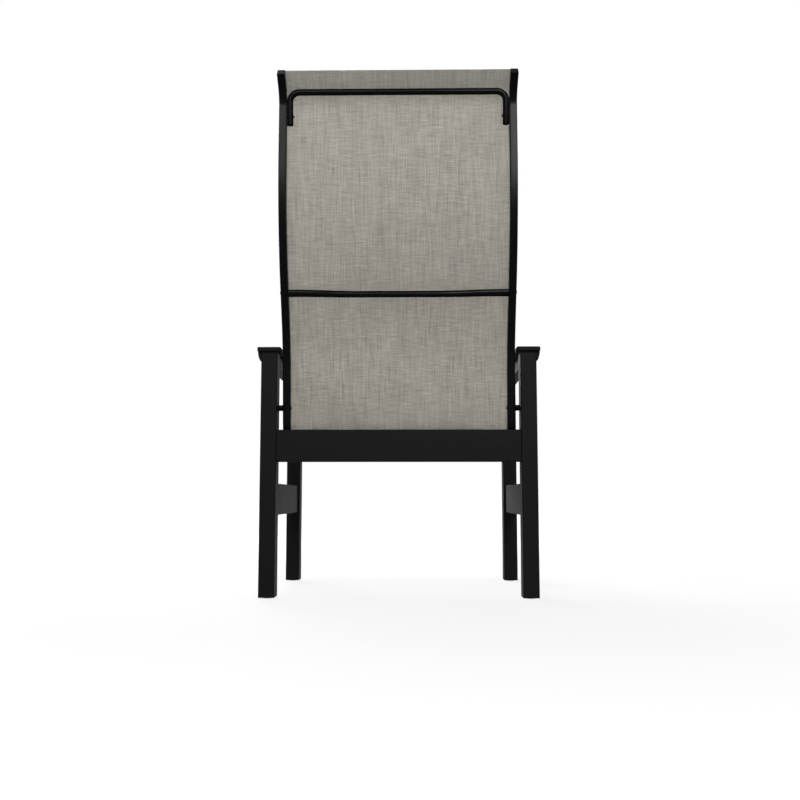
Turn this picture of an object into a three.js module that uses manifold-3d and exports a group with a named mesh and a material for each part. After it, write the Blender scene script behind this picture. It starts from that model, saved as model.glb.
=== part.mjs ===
// High-back sling patio chair: a black plank frame that carries two bent sling rails,
// with one stretched fabric sling as seat and back.
// Millimetres. +Z is up, the sitter faces -Y, and +X is the sitter's left.

import * as THREE from 'three';
import { mergeVertices } from 'three/addons/utils/BufferGeometryUtils.js';
import Module from 'manifold-3d';

const wasm = await Module();
wasm.setup();

// Legs: posts deeper than they are wide, measured from the rear face of the rear pair
const LEG_WIDTH = 38.1;
const LEG_DEPTH = 50.8;
const LEG_OUTER_SPREAD = 653.2;
const LEG_PITCH = 483.5;
const LEG_EDGE = 1.6;

// Glides under the legs
const GLIDE_RADIUS = 13;
const GLIDE_THICKNESS = 2;
const GLIDE_EDGE = 0.8;

// Arms: flat boards that overhang the legs
const ARM_TOP_HEIGHT = 589;
const ARM_THICKNESS = 10;
const ARM_OUTER_OVERHANG = 8.7;
const ARM_INNER_OVERHANG = 9.1;
const ARM_REAR_OVERHANG = 9.5;
const ARM_FRONT_OVERHANG = 13.3;
const ARM_REAR_CORNER = 5;
const ARM_FRONT_CORNER = 20;
const ARM_EDGE = 2;

// Planks between the legs
const PLANK_HEIGHT = 76.2;
const PLANK_EDGE = 1.6;
const CROSS_PLANK_THICKNESS = 19;
const CROSS_PLANK_RECESS = 4;
const FRONT_PLANK_RECESS = 16.7;
const REAR_PLANK_BOTTOM = 317.3;
const FRONT_PLANK_UNDER_RAIL = 2.8;
const SIDE_PLANK_THICKNESS = 25.4;
const STRETCHER_BOTTOM = 191.3;
const ARM_PLANK_HEIGHT = 32;

// Corbels: small rounded brackets between the legs' outer faces and the arms
const CORBEL_SHORT_OF_ARM = 0.3;
const CORBEL_HEIGHT = 24;
const CORBEL_SET_IN = 1.5;
const CORBEL_BULGE_SHARE = 0.8;

// Sling rails: extruded section with a hollow chamber behind and a keyhole groove in front
const RAIL_TO_LEG = 11.7;
const RAIL_TO_REAR_PLANK = 0.5;
const RAIL_WIDTH = 18;
const RAIL_DEPTH = 22;
const RAIL_CORNER = 2.5;
const RAIL_REAR_WALL = 2.2;
const RAIL_SIDE_WALL = 2.7;
const RAIL_RIB = 1.9;
const GROOVE_PAST_CORNER = 0.7;
const GROOVE_INSET = 6;
const GROOVE_RADIUS = 3.3;
const MOUTH_CLEARANCE = 0.6;

// Side profile of the rails, as lean angles from the vertical and bend radii at the centreline
const FOOT_ABOVE_REAR_PLANK = 22.5;
const FOOT_LEAN_DEGREES = 5.5;
const FOOT_LENGTH = 120.4;
const ELBOW_RADIUS = 388;
const RECLINE_LEAN_DEGREES = 22.5;
const RECLINE_LENGTH = 88;
const SHOULDER_RADIUS = 755;
const UPRIGHT_LEAN_DEGREES = -1.3;
const UPRIGHT_LENGTH = 99.6;
const FLARE_RADIUS = 66;
const FLARE_LEAN_DEGREES = 50;
const FLARE_LENGTH = 28.5;
const SEAT_BEND_RADIUS = 75;
const SEAT_LEAN_DEGREES = 101.6;
const SEAT_PAST_BOLT = 6;
const WATERFALL_RADIUS = 70;
const WATERFALL_LEAN_DEGREES = 50;
const WATERFALL_LENGTH = 12;

// End caps of the rails
const CAP_THICKNESS = 2.5;
const CAP_PLUG_LENGTH = 6;

// Sling and the spline rods that hold its edges
const SLING_THICKNESS = 1.6;
const SLING_PAST_RAIL = 2.5;
const SLING_EDGE_SHORT = 3;
const SPLINE_CLEARANCE = 0.5;

// Bars between the rails, set behind the groove
const BAR_OFFSET = -4;
const BAR_RADIUS = 7.7;
const BAR_END_HALF_HEIGHT = 8.9;
const BAR_END_HALF_DEPTH = 6.5;
const BAR_BOW = 20;
const BAR_BOW_RUN = 95;
const BAR_STUB = 14;
const BACK_BAR_UP_RECLINE = 73;
const SEAT_BAR_REAR_ALONG = 40;
const SEAT_BAR_FRONT_BEHIND_BOLT = 85.4;

// Head bar: a U of tube whose ends turn down along the rails' inner faces
const HEAD_BAR_RADIUS = 7.5;
const HEAD_BAR_TO_SLING = 0.8;
const HEAD_BAR_BELOW_FLARE = 36.8;
const HEAD_BAR_RISE = 74.2;
const HEAD_BAR_BEND = 22;
const HEAD_BAR_LEAN_DEGREES = 10;
const HEAD_SCREW_UP = 18.2;
const HEAD_PLUG_CAP = 2;
const HEAD_PLUG_LENGTH = 10;
const HEAD_BAR_WALL = 2.6;

// Fasteners
const BOLT_SHANK_RADIUS = 3;
const BOLT_HEAD_RADIUS = 4.4;
const BOLT_HEAD_HEIGHT = 2.4;
const BOLT_SHORT_OF_INSERT = 2;
const DOME_FLAT_SHARE = 0.5;
const DOME_RIM_SHARE = 0.35;
const REAR_BOLT_UP_FOOT = 31;
const FRONT_BOLT_INTO_LEG = 19.05;
const INSERT_WALL = 1.5;
const INSERT_LENGTH = 18;
const SPACER_RADIUS = 7;
const BAR_SCREW_SHANK_RADIUS = 2.5;
const BAR_SCREW_HEAD_HEIGHT = 1;
const BAR_SCREW_GRIP = 12;
const HEAD_SCREW_SHANK_RADIUS = 1.9;
const HEAD_SCREW_HEAD_RADIUS = 3;
const HEAD_SCREW_HEAD_HEIGHT = 2.2;
const HEAD_SCREW_REACH = 6;

// Clearances and fineness
const SEAT_GAP = 0.3;
const CUT_OVERRUN = 1;
const CHORD_ERROR = 0.45;
const TUBE_SIDES = 12;
const TURNED_SIDES = 12;
const SPLINE_SIDES = 8;
const CURVE_STEPS = 5;
const CORNER_STEPS = 2;

const legOuter = LEG_OUTER_SPREAD / 2;
const legInner = legOuter - LEG_WIDTH;
const legCentre = legOuter - LEG_WIDTH / 2;
const armBottom = ARM_TOP_HEIGHT - ARM_THICKNESS;
const railOuter = legInner - RAIL_TO_LEG;
const railInner = railOuter - RAIL_WIDTH;
const railCentre = railOuter - RAIL_WIDTH / 2;
const railFootForward = CROSS_PLANK_RECESS + CROSS_PLANK_THICKNESS + RAIL_TO_REAR_PLANK + RAIL_DEPTH / 2;
const railFootHeight = REAR_PLANK_BOTTOM + PLANK_HEIGHT + FOOT_ABOVE_REAR_PLANK;
const frontLegRear = -LEG_PITCH;
const frontPlankRear = frontLegRear - LEG_DEPTH + FRONT_PLANK_RECESS + CROSS_PLANK_THICKNESS;
const corbelReach = ARM_OUTER_OVERHANG - CORBEL_SHORT_OF_ARM;
const halfMouth = SLING_THICKNESS / 2 + MOUTH_CLEARANCE;
const grooveUnderFace = RAIL_CORNER + GROOVE_PAST_CORNER + halfMouth;
const grooveOffset = RAIL_DEPTH / 2 - grooveUnderFace;
const chamberDepth = RAIL_DEPTH - RAIL_REAR_WALL - RAIL_RIB - GROOVE_RADIUS - grooveUnderFace;
const splineRadius = GROOVE_RADIUS - SPLINE_CLEARANCE;
const slingRear = grooveOffset - SLING_THICKNESS / 2;
const headPlugRadius = HEAD_BAR_RADIUS - HEAD_BAR_WALL - SEAT_GAP;
const insertRadius = BOLT_SHANK_RADIUS + SEAT_GAP + INSERT_WALL;
const barScrewLength = RAIL_WIDTH + BAR_SCREW_GRIP;

const paints = {
  plank: { color: 0x1c1c1e, roughness: 0.6, metalness: 0 },
  rail: { color: 0x17181a, roughness: 0.42, metalness: 0.3 },
  sling: { color: 0x97918a, roughness: 0.85, metalness: 0 },
  plastic: { color: 0x151516, roughness: 0.5, metalness: 0 },
  steel: { color: 0x202124, roughness: 0.35, metalness: 0.8 },
  brass: { color: 0xb08d4c, roughness: 0.4, metalness: 1 },
};

const chair = new THREE.Group();

function addPiece(name, paint, geometry) {
  const mesh = new THREE.Mesh(geometry, new THREE.MeshStandardMaterial(paints[paint]));
  mesh.name = name;
  chair.add(mesh);
  return mesh;
}

// Solids: closed meshes with shared corners

function closedMesh(geometry) {
  const bare = geometry.clone();
  bare.deleteAttribute('normal');
  bare.deleteAttribute('uv');
  const merged = mergeVertices(bare);
  const corners = merged.index.array;
  const kept = [];
  for (let i = 0; i < corners.length; i += 3) {
    const [a, b, c] = [corners[i], corners[i + 1], corners[i + 2]];
    if (a !== b && b !== c && c !== a) kept.push(a, b, c);
  }
  merged.setIndex(kept);
  return merged;
}

function toSolid(geometry) {
  const merged = closedMesh(geometry);
  return new wasm.Manifold(new wasm.Mesh({
    numProp: 3,
    vertProperties: new Float32Array(merged.attributes.position.array),
    triVerts: new Uint32Array(merged.index.array),
  }));
}

function toGeometry(solid) {
  const mesh = solid.getMesh();
  const geometry = new THREE.BufferGeometry();
  geometry.setAttribute('position', new THREE.BufferAttribute(mesh.vertProperties, 3));
  geometry.setIndex(new THREE.BufferAttribute(mesh.triVerts, 1));
  return geometry;
}

function cutAway(geometry, tools) {
  return toGeometry(tools.reduce((solid, tool) => solid.subtract(toSolid(tool)), toSolid(geometry)));
}

function joined(first, second) {
  return toGeometry(toSolid(first).add(toSolid(second)));
}

function faceOutward(geometry) {
  const place = geometry.attributes.position;
  const corners = geometry.index.array;
  const [a, b, c] = [new THREE.Vector3(), new THREE.Vector3(), new THREE.Vector3()];
  let volume = 0;
  for (let i = 0; i < corners.length; i += 3) {
    a.fromBufferAttribute(place, corners[i]);
    b.fromBufferAttribute(place, corners[i + 1]);
    c.fromBufferAttribute(place, corners[i + 2]);
    volume += a.dot(b.cross(c));
  }
  if (volume < 0) geometry.setIndex(Array.from(corners).reverse());
  return geometry;
}

// A bar along X from one end to the other, for shanks and bores
function rodAlongX(radius, fromX, toX, y, z) {
  const rod = new THREE.CylinderGeometry(radius, radius, Math.abs(toX - fromX), TURNED_SIDES);
  return rod.rotateZ(Math.PI / 2).translate((fromX + toX) / 2, y, z);
}

// Outlines

function roundedRectangle(width, height, radius) {
  const [x, y] = [width / 2, height / 2];
  const shape = new THREE.Shape();
  shape.moveTo(x, radius - y);
  shape.absarc(x - radius, y - radius, radius, 0, Math.PI / 2);
  shape.absarc(radius - x, y - radius, radius, Math.PI / 2, Math.PI);
  shape.absarc(radius - x, radius - y, radius, Math.PI, Math.PI * 3 / 2);
  shape.absarc(x - radius, radius - y, radius, Math.PI * 3 / 2, Math.PI * 2);
  return shape;
}

function ellipsePoints(halfWidth, halfHeight, sides) {
  return Array.from({ length: sides }, (_, i) => {
    const turn = (i + 1 / 2) / sides * Math.PI * 2;
    return new THREE.Vector2(Math.cos(turn) * halfWidth, Math.sin(turn) * halfHeight);
  });
}

// A plank of rounded section along +Z with eased ends, from zero to its length
function plank(width, thickness, length, edge) {
  const geometry = new THREE.ExtrudeGeometry(roundedRectangle(width, thickness, edge), {
    depth: length - 2 * edge,
    bevelThickness: edge,
    bevelSize: edge / 2,
    bevelOffset: -edge / 2,
    bevelSegments: 1,
    curveSegments: CORNER_STEPS,
  });
  return geometry.translate(0, 0, edge);
}

const ACROSS = new THREE.Vector3(1, 0, 0);
const REARWARD = new THREE.Vector3(0, 1, 0);
const UPWARD = new THREE.Vector3(0, 0, 1);

// Paths: places in a plane, each with a travel direction, made of straight runs and bends

function arcSteps(radius, turn) {
  return Math.max(1, Math.ceil(Math.abs(turn) / (2 * Math.acos(1 - CHORD_ERROR / radius))));
}

function travel(start, moves) {
  const places = [{ ...start, move: 'start' }];
  let { x, y, angle } = start;
  for (const { name, run, radius, turn } of moves) {
    if (run) {
      x += run * Math.cos(angle);
      y += run * Math.sin(angle);
      places.push({ x, y, angle, move: name });
    } else {
      const steps = arcSteps(radius, turn);
      const side = Math.sign(turn);
      const centre = { x: x - side * radius * Math.sin(angle), y: y + side * radius * Math.cos(angle) };
      for (let i = 0; i < steps; i += 1) {
        angle += turn / steps;
        x = centre.x + side * radius * Math.sin(angle);
        y = centre.y - side * radius * Math.cos(angle);
        places.push({ x, y, angle, move: name });
      }
    }
  }
  return places;
}

// Puts a plane path into space. Each frame has its point, the plane's normal and the path's left
function liftPath(places, origin, alongX, alongY) {
  const across = new THREE.Vector3().crossVectors(alongX, alongY);
  return places.map(({ x, y, angle }) => ({
    point: origin.clone().addScaledVector(alongX, x).addScaledVector(alongY, y),
    across,
    left: alongX.clone().multiplyScalar(-Math.sin(angle)).addScaledVector(alongY, Math.cos(angle)),
  }));
}

// Sweeps a section along frames. A section's x runs across the path's plane and its y to the left
function sweep(frames, sectionAt, hollow = []) {
  const rings = frames.map((_, i) => [...sectionAt(i), ...hollow]);
  const outerCount = rings[0].length - hollow.length;
  const positions = [];
  rings.forEach((ring, i) => {
    const { point, across, left } = frames[i];
    for (const { x, y } of ring) {
      const corner = point.clone().addScaledVector(across, x).addScaledVector(left, y);
      positions.push(corner.x, corner.y, corner.z);
    }
  });
  const count = rings[0].length;
  const corners = [];
  const wall = (from, size, flip) => {
    for (let ring = 0; ring + 1 < rings.length; ring += 1) {
      for (let i = 0; i < size; i += 1) {
        const a = ring * count + from + i;
        const b = ring * count + from + (i + 1) % size;
        const [c, d] = [a + count, b + count];
        if (flip) corners.push(a, c, b, b, c, d);
        else corners.push(a, b, c, b, d, c);
      }
    }
  };
  const outline = rings[0].slice(0, outerCount);
  const outlineTurnsLeft = THREE.ShapeUtils.area(outline) > 0;
  const hollowTurnsLeft = hollow.length > 0 && THREE.ShapeUtils.area(hollow) > 0;
  wall(0, outerCount, !outlineTurnsLeft);
  if (hollow.length > 0) wall(outerCount, hollow.length, hollowTurnsLeft);
  const lid = (ring, base, wantLeft) => {
    const holes = hollow.length > 0 ? [hollow] : [];
    for (const triangle of THREE.ShapeUtils.triangulateShape(ring.slice(0, outerCount), holes)) {
      const [a, b, c] = triangle.map((i) => base + i);
      const turnsLeft = THREE.ShapeUtils.area(triangle.map((i) => ring[i])) > 0;
      if (turnsLeft === wantLeft) corners.push(a, b, c);
      else corners.push(a, c, b);
    }
  };
  lid(rings[0], 0, false);
  lid(rings.at(-1), (rings.length - 1) * count, true);
  const geometry = new THREE.BufferGeometry();
  geometry.setAttribute('position', new THREE.Float32BufferAttribute(positions, 3));
  geometry.setIndex(corners);
  return faceOutward(geometry);
}

// Side profile of the rails, from the front lip of the seat to the top of the back.
// Its plane's x runs to the rear and its y up, so a lean from the vertical is a right angle less
function headingOf(leanDegrees) {
  return THREE.MathUtils.degToRad(90 - leanDegrees);
}

function bend(name, radius, fromLean, toLean) {
  return { name, radius, turn: headingOf(toLean) - headingOf(fromLean) };
}

// The seat run reaches far enough forward to bring the front bolt to its place in the front leg
function seatLength() {
  const heading = headingOf(SEAT_LEAN_DEGREES);
  const bendReach = SEAT_BEND_RADIUS * (Math.sin(headingOf(FOOT_LEAN_DEGREES)) - Math.sin(heading));
  const boltForward = LEG_PITCH + FRONT_BOLT_INTO_LEG - BAR_OFFSET * Math.sin(heading);
  return (boltForward - railFootForward - bendReach) / Math.cos(heading) + SEAT_PAST_BOLT;
}

const seatRun = seatLength();

function railPlaces() {
  const places = travel({ x: 0, y: 0, angle: headingOf(WATERFALL_LEAN_DEGREES) }, [
    { name: 'lip', run: WATERFALL_LENGTH },
    bend('waterfall', WATERFALL_RADIUS, WATERFALL_LEAN_DEGREES, SEAT_LEAN_DEGREES),
    { name: 'seat', run: seatRun },
    bend('seat_bend', SEAT_BEND_RADIUS, SEAT_LEAN_DEGREES, FOOT_LEAN_DEGREES),
    { name: 'foot', run: FOOT_LENGTH },
    bend('elbow', ELBOW_RADIUS, FOOT_LEAN_DEGREES, RECLINE_LEAN_DEGREES),
    { name: 'recline', run: RECLINE_LENGTH },
    bend('shoulder', SHOULDER_RADIUS, RECLINE_LEAN_DEGREES, UPRIGHT_LEAN_DEGREES),
    { name: 'upright', run: UPRIGHT_LENGTH },
    bend('flare', FLARE_RADIUS, UPRIGHT_LEAN_DEGREES, FLARE_LEAN_DEGREES),
    { name: 'crest', run: FLARE_LENGTH },
  ]);
  const anchor = places.findLast(({ move }) => move === 'seat_bend');
  return places.map((place) => ({
    ...place,
    x: place.x - anchor.x - railFootForward,
    y: place.y - anchor.y + railFootHeight,
  }));
}

const profile = railPlaces();

// A place on a straight run of the profile, so far along it and so far to the sitter's side
function onProfile(move, along, offset) {
  const at = profile.findIndex((place) => place.move === move) - 1;
  const { x, y, angle } = profile[at];
  return {
    y: x + along * Math.cos(angle) - offset * Math.sin(angle),
    z: y + along * Math.sin(angle) + offset * Math.cos(angle),
    angle,
  };
}

const railFrames = (x) => liftPath(profile, new THREE.Vector3(x, 0, 0), REARWARD, UPWARD);

// Rail section, with its inner face towards positive x and the sitter's side towards positive y
function railSection(side) {
  const [halfWidth, halfDepth] = [RAIL_WIDTH / 2, RAIL_DEPTH / 2];
  const points = [];
  const corner = (x, y, from) => {
    for (let i = 0; i <= CORNER_STEPS; i += 1) {
      const turn = from + i / CORNER_STEPS * Math.PI / 2;
      points.push(new THREE.Vector2(x + RAIL_CORNER * Math.cos(turn), y + RAIL_CORNER * Math.sin(turn)));
    }
  };
  const [cornerX, cornerY] = [halfWidth - RAIL_CORNER, halfDepth - RAIL_CORNER];
  corner(cornerX, -cornerY, -Math.PI / 2);
  const mouth = Math.asin(halfMouth / GROOVE_RADIUS);
  points.push(new THREE.Vector2(halfWidth, grooveOffset - halfMouth));
  for (let i = 0; i <= TUBE_SIDES / 2; i += 1) {
    const turn = -mouth - i / (TUBE_SIDES / 2) * (Math.PI * 2 - 2 * mouth);
    points.push(new THREE.Vector2(
      halfWidth - GROOVE_INSET + GROOVE_RADIUS * Math.cos(turn),
      grooveOffset + GROOVE_RADIUS * Math.sin(turn),
    ));
  }
  points.push(new THREE.Vector2(halfWidth, grooveOffset + halfMouth));
  corner(cornerX, cornerY, 0);
  corner(-cornerX, cornerY, Math.PI / 2);
  corner(-cornerX, -cornerY, Math.PI);
  return points.map(({ x, y }) => new THREE.Vector2(-side * x, y));
}

function chamberSection(shrink) {
  const [x, y] = [RAIL_WIDTH / 2 - RAIL_SIDE_WALL - shrink, chamberDepth / 2 - shrink];
  const middle = RAIL_REAR_WALL + chamberDepth / 2 - RAIL_DEPTH / 2;
  return [[-x, -y], [x, -y], [x, y], [-x, y]].map(([a, b]) => new THREE.Vector2(a, b + middle));
}

// Mounting and bar positions on the side profile
const rearBolt = onProfile('foot', REAR_BOLT_UP_FOOT, BAR_OFFSET);
const frontBolt = onProfile('seat', SEAT_PAST_BOLT, BAR_OFFSET);
const backBar = onProfile('recline', BACK_BAR_UP_RECLINE, BAR_OFFSET);
const seatBarFront = onProfile('seat', SEAT_PAST_BOLT + SEAT_BAR_FRONT_BEHIND_BOLT, BAR_OFFSET);
const seatBarRear = onProfile('seat', seatRun - SEAT_BAR_REAR_ALONG, BAR_OFFSET);
const headBarOffset = slingRear - HEAD_BAR_TO_SLING - HEAD_BAR_RADIUS;
const headBarFoot = onProfile('upright', UPRIGHT_LENGTH - HEAD_BAR_BELOW_FLARE, headBarOffset);
const headBarTilt = THREE.MathUtils.degToRad(HEAD_BAR_LEAN_DEGREES);
const headScrew = {
  y: headBarFoot.y + HEAD_SCREW_UP * Math.sin(headBarTilt),
  z: headBarFoot.z + HEAD_SCREW_UP * Math.cos(headBarTilt),
};
const headBarX = railInner - SEAT_GAP - HEAD_BAR_RADIUS;

// Height of the front plank's top, under the seat runs of the rails
function frontPlankTop() {
  const under = onProfile('seat', 0, -RAIL_DEPTH / 2);
  return under.z + (frontPlankRear - under.y) * Math.tan(under.angle) - FRONT_PLANK_UNDER_RAIL;
}

const SIDES = [['left', 1], ['right', -1]];

function addLegs() {
  const height = armBottom - GLIDE_THICKNESS;
  const rows = [
    ['rear', 0, rearBolt],
    ['front', frontLegRear, frontBolt],
  ];
  for (const [side, sign] of SIDES) {
    for (const [row, rearFace, bolt] of rows) {
      const centreY = rearFace - LEG_DEPTH / 2;
      const boreEnd = legInner + INSERT_LENGTH + SEAT_GAP;
      const bore = rodAlongX(insertRadius + SEAT_GAP, sign * (legInner - CUT_OVERRUN), sign * boreEnd,
        bolt.y, bolt.z);
      const post = plank(LEG_WIDTH, LEG_DEPTH, height, LEG_EDGE);
      post.translate(sign * legCentre, centreY, GLIDE_THICKNESS);
      addPiece(`${row}_leg_${side}`, 'plank', cutAway(post, [bore]));

      const glide = addPiece(`${row}_glide_${side}`, 'plastic', new THREE.LatheGeometry([
        new THREE.Vector2(0, 0),
        new THREE.Vector2(GLIDE_RADIUS - GLIDE_EDGE, 0),
        new THREE.Vector2(GLIDE_RADIUS, GLIDE_EDGE),
        new THREE.Vector2(GLIDE_RADIUS, GLIDE_THICKNESS),
        new THREE.Vector2(0, GLIDE_THICKNESS),
      ], TURNED_SIDES));
      glide.rotation.x = Math.PI / 2;
      glide.position.set(sign * legCentre, centreY, 0);
    }
  }
}

function addCorbels() {
  const outline = new THREE.Shape();
  outline.moveTo(0, 0);
  outline.lineTo(corbelReach, 0);
  const [bulgeX, bulgeY] = [CORBEL_BULGE_SHARE * corbelReach, CORBEL_BULGE_SHARE * CORBEL_HEIGHT];
  outline.quadraticCurveTo(bulgeX, -bulgeY, 0, -CORBEL_HEIGHT);
  const depth = LEG_DEPTH - 2 * CORBEL_SET_IN;
  for (const [side, sign] of SIDES) {
    for (const [row, rearFace] of [['rear', 0], ['front', frontLegRear]]) {
      const mesh = addPiece(`${row}_corbel_${side}`, 'plank', new THREE.ExtrudeGeometry(outline, {
        depth, bevelEnabled: false, curveSegments: CURVE_STEPS,
      }));
      const turnedRound = sign < 0;
      mesh.rotation.set(Math.PI / 2, turnedRound ? Math.PI : 0, 0);
      mesh.position.set(
        sign * legOuter,
        turnedRound ? rearFace - CORBEL_SET_IN - depth : rearFace - CORBEL_SET_IN,
        armBottom,
      );
    }
  }
}

function addArms() {
  const [inner, outer] = [-LEG_WIDTH / 2 - ARM_INNER_OVERHANG, LEG_WIDTH / 2 + ARM_OUTER_OVERHANG];
  const [rear, front] = [ARM_REAR_OVERHANG, -LEG_PITCH - LEG_DEPTH - ARM_FRONT_OVERHANG];
  for (const [side, sign] of SIDES) {
    const [low, high] = [Math.min(sign * inner, sign * outer), Math.max(sign * inner, sign * outer)];
    const outline = new THREE.Shape();
    const corner = (x, y, radius, quarter) => {
      outline.absarc(x, y, radius, quarter * Math.PI / 2, (quarter + 1) * Math.PI / 2);
    };
    outline.moveTo(low + ARM_FRONT_CORNER, front);
    corner(high - ARM_FRONT_CORNER, front + ARM_FRONT_CORNER, ARM_FRONT_CORNER, -1);
    corner(high - ARM_REAR_CORNER, rear - ARM_REAR_CORNER, ARM_REAR_CORNER, 0);
    corner(low + ARM_REAR_CORNER, rear - ARM_REAR_CORNER, ARM_REAR_CORNER, 1);
    corner(low + ARM_FRONT_CORNER, front + ARM_FRONT_CORNER, ARM_FRONT_CORNER, 2);
    const board = new THREE.ExtrudeGeometry(outline, {
      depth: ARM_THICKNESS - 2 * ARM_EDGE,
      bevelThickness: ARM_EDGE,
      bevelSize: ARM_EDGE,
      bevelOffset: -ARM_EDGE,
      bevelSegments: CORNER_STEPS,
      curveSegments: CURVE_STEPS,
    });
    addPiece(`arm_${side}`, 'plank', board).position.set(sign * legCentre, 0, armBottom + ARM_EDGE);
  }
}

function addPlanks() {
  const sideLength = LEG_PITCH - LEG_DEPTH;
  const lie = (name, width, thickness, length, turn, x, y, z) => {
    const mesh = addPiece(name, 'plank', plank(width, thickness, length, PLANK_EDGE));
    mesh.rotation.set(...turn);
    mesh.position.set(x, y, z);
  };
  const alongY = [Math.PI / 2, 0, 0];
  for (const [side, sign] of SIDES) {
    lie(`arm_plank_${side}`, SIDE_PLANK_THICKNESS, ARM_PLANK_HEIGHT, sideLength, alongY,
      sign * legCentre, -LEG_DEPTH, armBottom - ARM_PLANK_HEIGHT / 2);
    lie(`stretcher_${side}`, SIDE_PLANK_THICKNESS, PLANK_HEIGHT, sideLength, alongY,
      sign * legCentre, -LEG_DEPTH, STRETCHER_BOTTOM + PLANK_HEIGHT / 2);
  }
  const alongX = [0, Math.PI / 2, 0];
  const crossLength = 2 * legInner;
  const rearY = -CROSS_PLANK_RECESS - CROSS_PLANK_THICKNESS / 2;
  const frontY = frontPlankRear - CROSS_PLANK_THICKNESS / 2;
  lie('rear_cross_plank', PLANK_HEIGHT, CROSS_PLANK_THICKNESS, crossLength, alongX,
    -legInner, rearY, REAR_PLANK_BOTTOM + PLANK_HEIGHT / 2);
  lie('front_cross_plank', PLANK_HEIGHT, CROSS_PLANK_THICKNESS, crossLength, alongX,
    -legInner, frontY, frontPlankTop() - PLANK_HEIGHT / 2);
}

function addRails() {
  const frames = railFrames(0);
  for (const [side, sign] of SIDES) {
    const section = railSection(sign);
    const body = sweep(frames, () => section, chamberSection(0));
    body.translate(sign * railCentre, 0, 0);
    const hole = (shankRadius, place, toX) => rodAlongX(
      shankRadius + SEAT_GAP, sign * (railInner - CUT_OVERRUN), sign * toX, place.y, place.z,
    );
    const beyond = railOuter + CUT_OVERRUN;
    const holes = [
      ...[rearBolt, frontBolt].map((place) => hole(BOLT_SHANK_RADIUS, place, beyond)),
      ...[backBar, seatBarFront, seatBarRear].map((place) => hole(BAR_SCREW_SHANK_RADIUS, place, beyond)),
      hole(HEAD_SCREW_SHANK_RADIUS, headScrew, railCentre),
    ];
    addPiece(`side_rail_${side}`, 'rail', cutAway(body, holes));

    const rod = ellipsePoints(splineRadius, splineRadius, SPLINE_SIDES)
      .map(({ x, y }) => new THREE.Vector2(x - sign * (RAIL_WIDTH / 2 - GROOVE_INSET), y + grooveOffset));
    const spline = sweep(frames, () => rod);
    addPiece(`spline_${side}`, 'plastic', spline.translate(sign * railCentre, 0, 0));
  }
}

function addRailCaps() {
  const outline = roundedRectangle(RAIL_WIDTH, RAIL_DEPTH, RAIL_CORNER);
  const frames = railFrames(0);
  const ends = [['top', frames.at(-1), 1], ['front', frames[0], -1]];
  for (const [side, sign] of SIDES) {
    for (const [end, frame, outward] of ends) {
      const face = new THREE.ExtrudeGeometry(outline, {
        depth: CAP_THICKNESS, bevelEnabled: false, curveSegments: CORNER_STEPS,
      });
      const plug = new THREE.ExtrudeGeometry(new THREE.Shape(chamberSection(SEAT_GAP)), {
        depth: CAP_PLUG_LENGTH + CUT_OVERRUN, bevelEnabled: false,
      });
      plug.translate(0, 0, -CAP_PLUG_LENGTH);
      const cap = addPiece(`rail_cap_${end}_${side}`, 'plastic', joined(face, plug));
      const along = new THREE.Vector3().crossVectors(frame.left, frame.across);
      const basis = new THREE.Matrix4().makeBasis(
        frame.across.clone().multiplyScalar(-outward),
        frame.left,
        along.clone().multiplyScalar(outward),
      );
      cap.quaternion.setFromRotationMatrix(basis);
      cap.position.copy(frame.point).addScaledVector(along, outward * SEAT_GAP);
      cap.position.x = sign * railCentre;
    }
  }
}

// The sling: one cloth stretched from the front lip to the crest, with its edges in the grooves.
// Its free edges reach on between the rails' caps, where the cloth is cut back to clear them
function addSling() {
  const [low, high] = [slingRear, slingRear + SLING_THICKNESS];
  const sectionOf = (half) => [[-half, low], [half, low], [half, high], [-half, high]]
    .map(([x, y]) => new THREE.Vector2(x, y));
  const held = sectionOf(railInner + GROOVE_INSET - splineRadius - SEAT_GAP);
  const free = sectionOf(railInner - SEAT_GAP);
  const moved = ({ x, y, angle }, along) => (
    { x: x + along * Math.cos(angle), y: y + along * Math.sin(angle), angle }
  );
  const [lip, crest] = [profile[0], profile.at(-1)];
  const places = [
    moved(lip, -SLING_PAST_RAIL), lip, moved(lip, SLING_EDGE_SHORT),
    ...profile.slice(1, -1),
    moved(crest, -SLING_EDGE_SHORT), crest, moved(crest, SLING_PAST_RAIL),
  ];
  const frames = liftPath(places, new THREE.Vector3(), REARWARD, UPWARD);
  const freeRings = new Set([0, 1, places.length - 2, places.length - 1]);
  addPiece('sling', 'sling', sweep(frames, (i) => (freeRings.has(i) ? free : held)));
}

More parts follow.
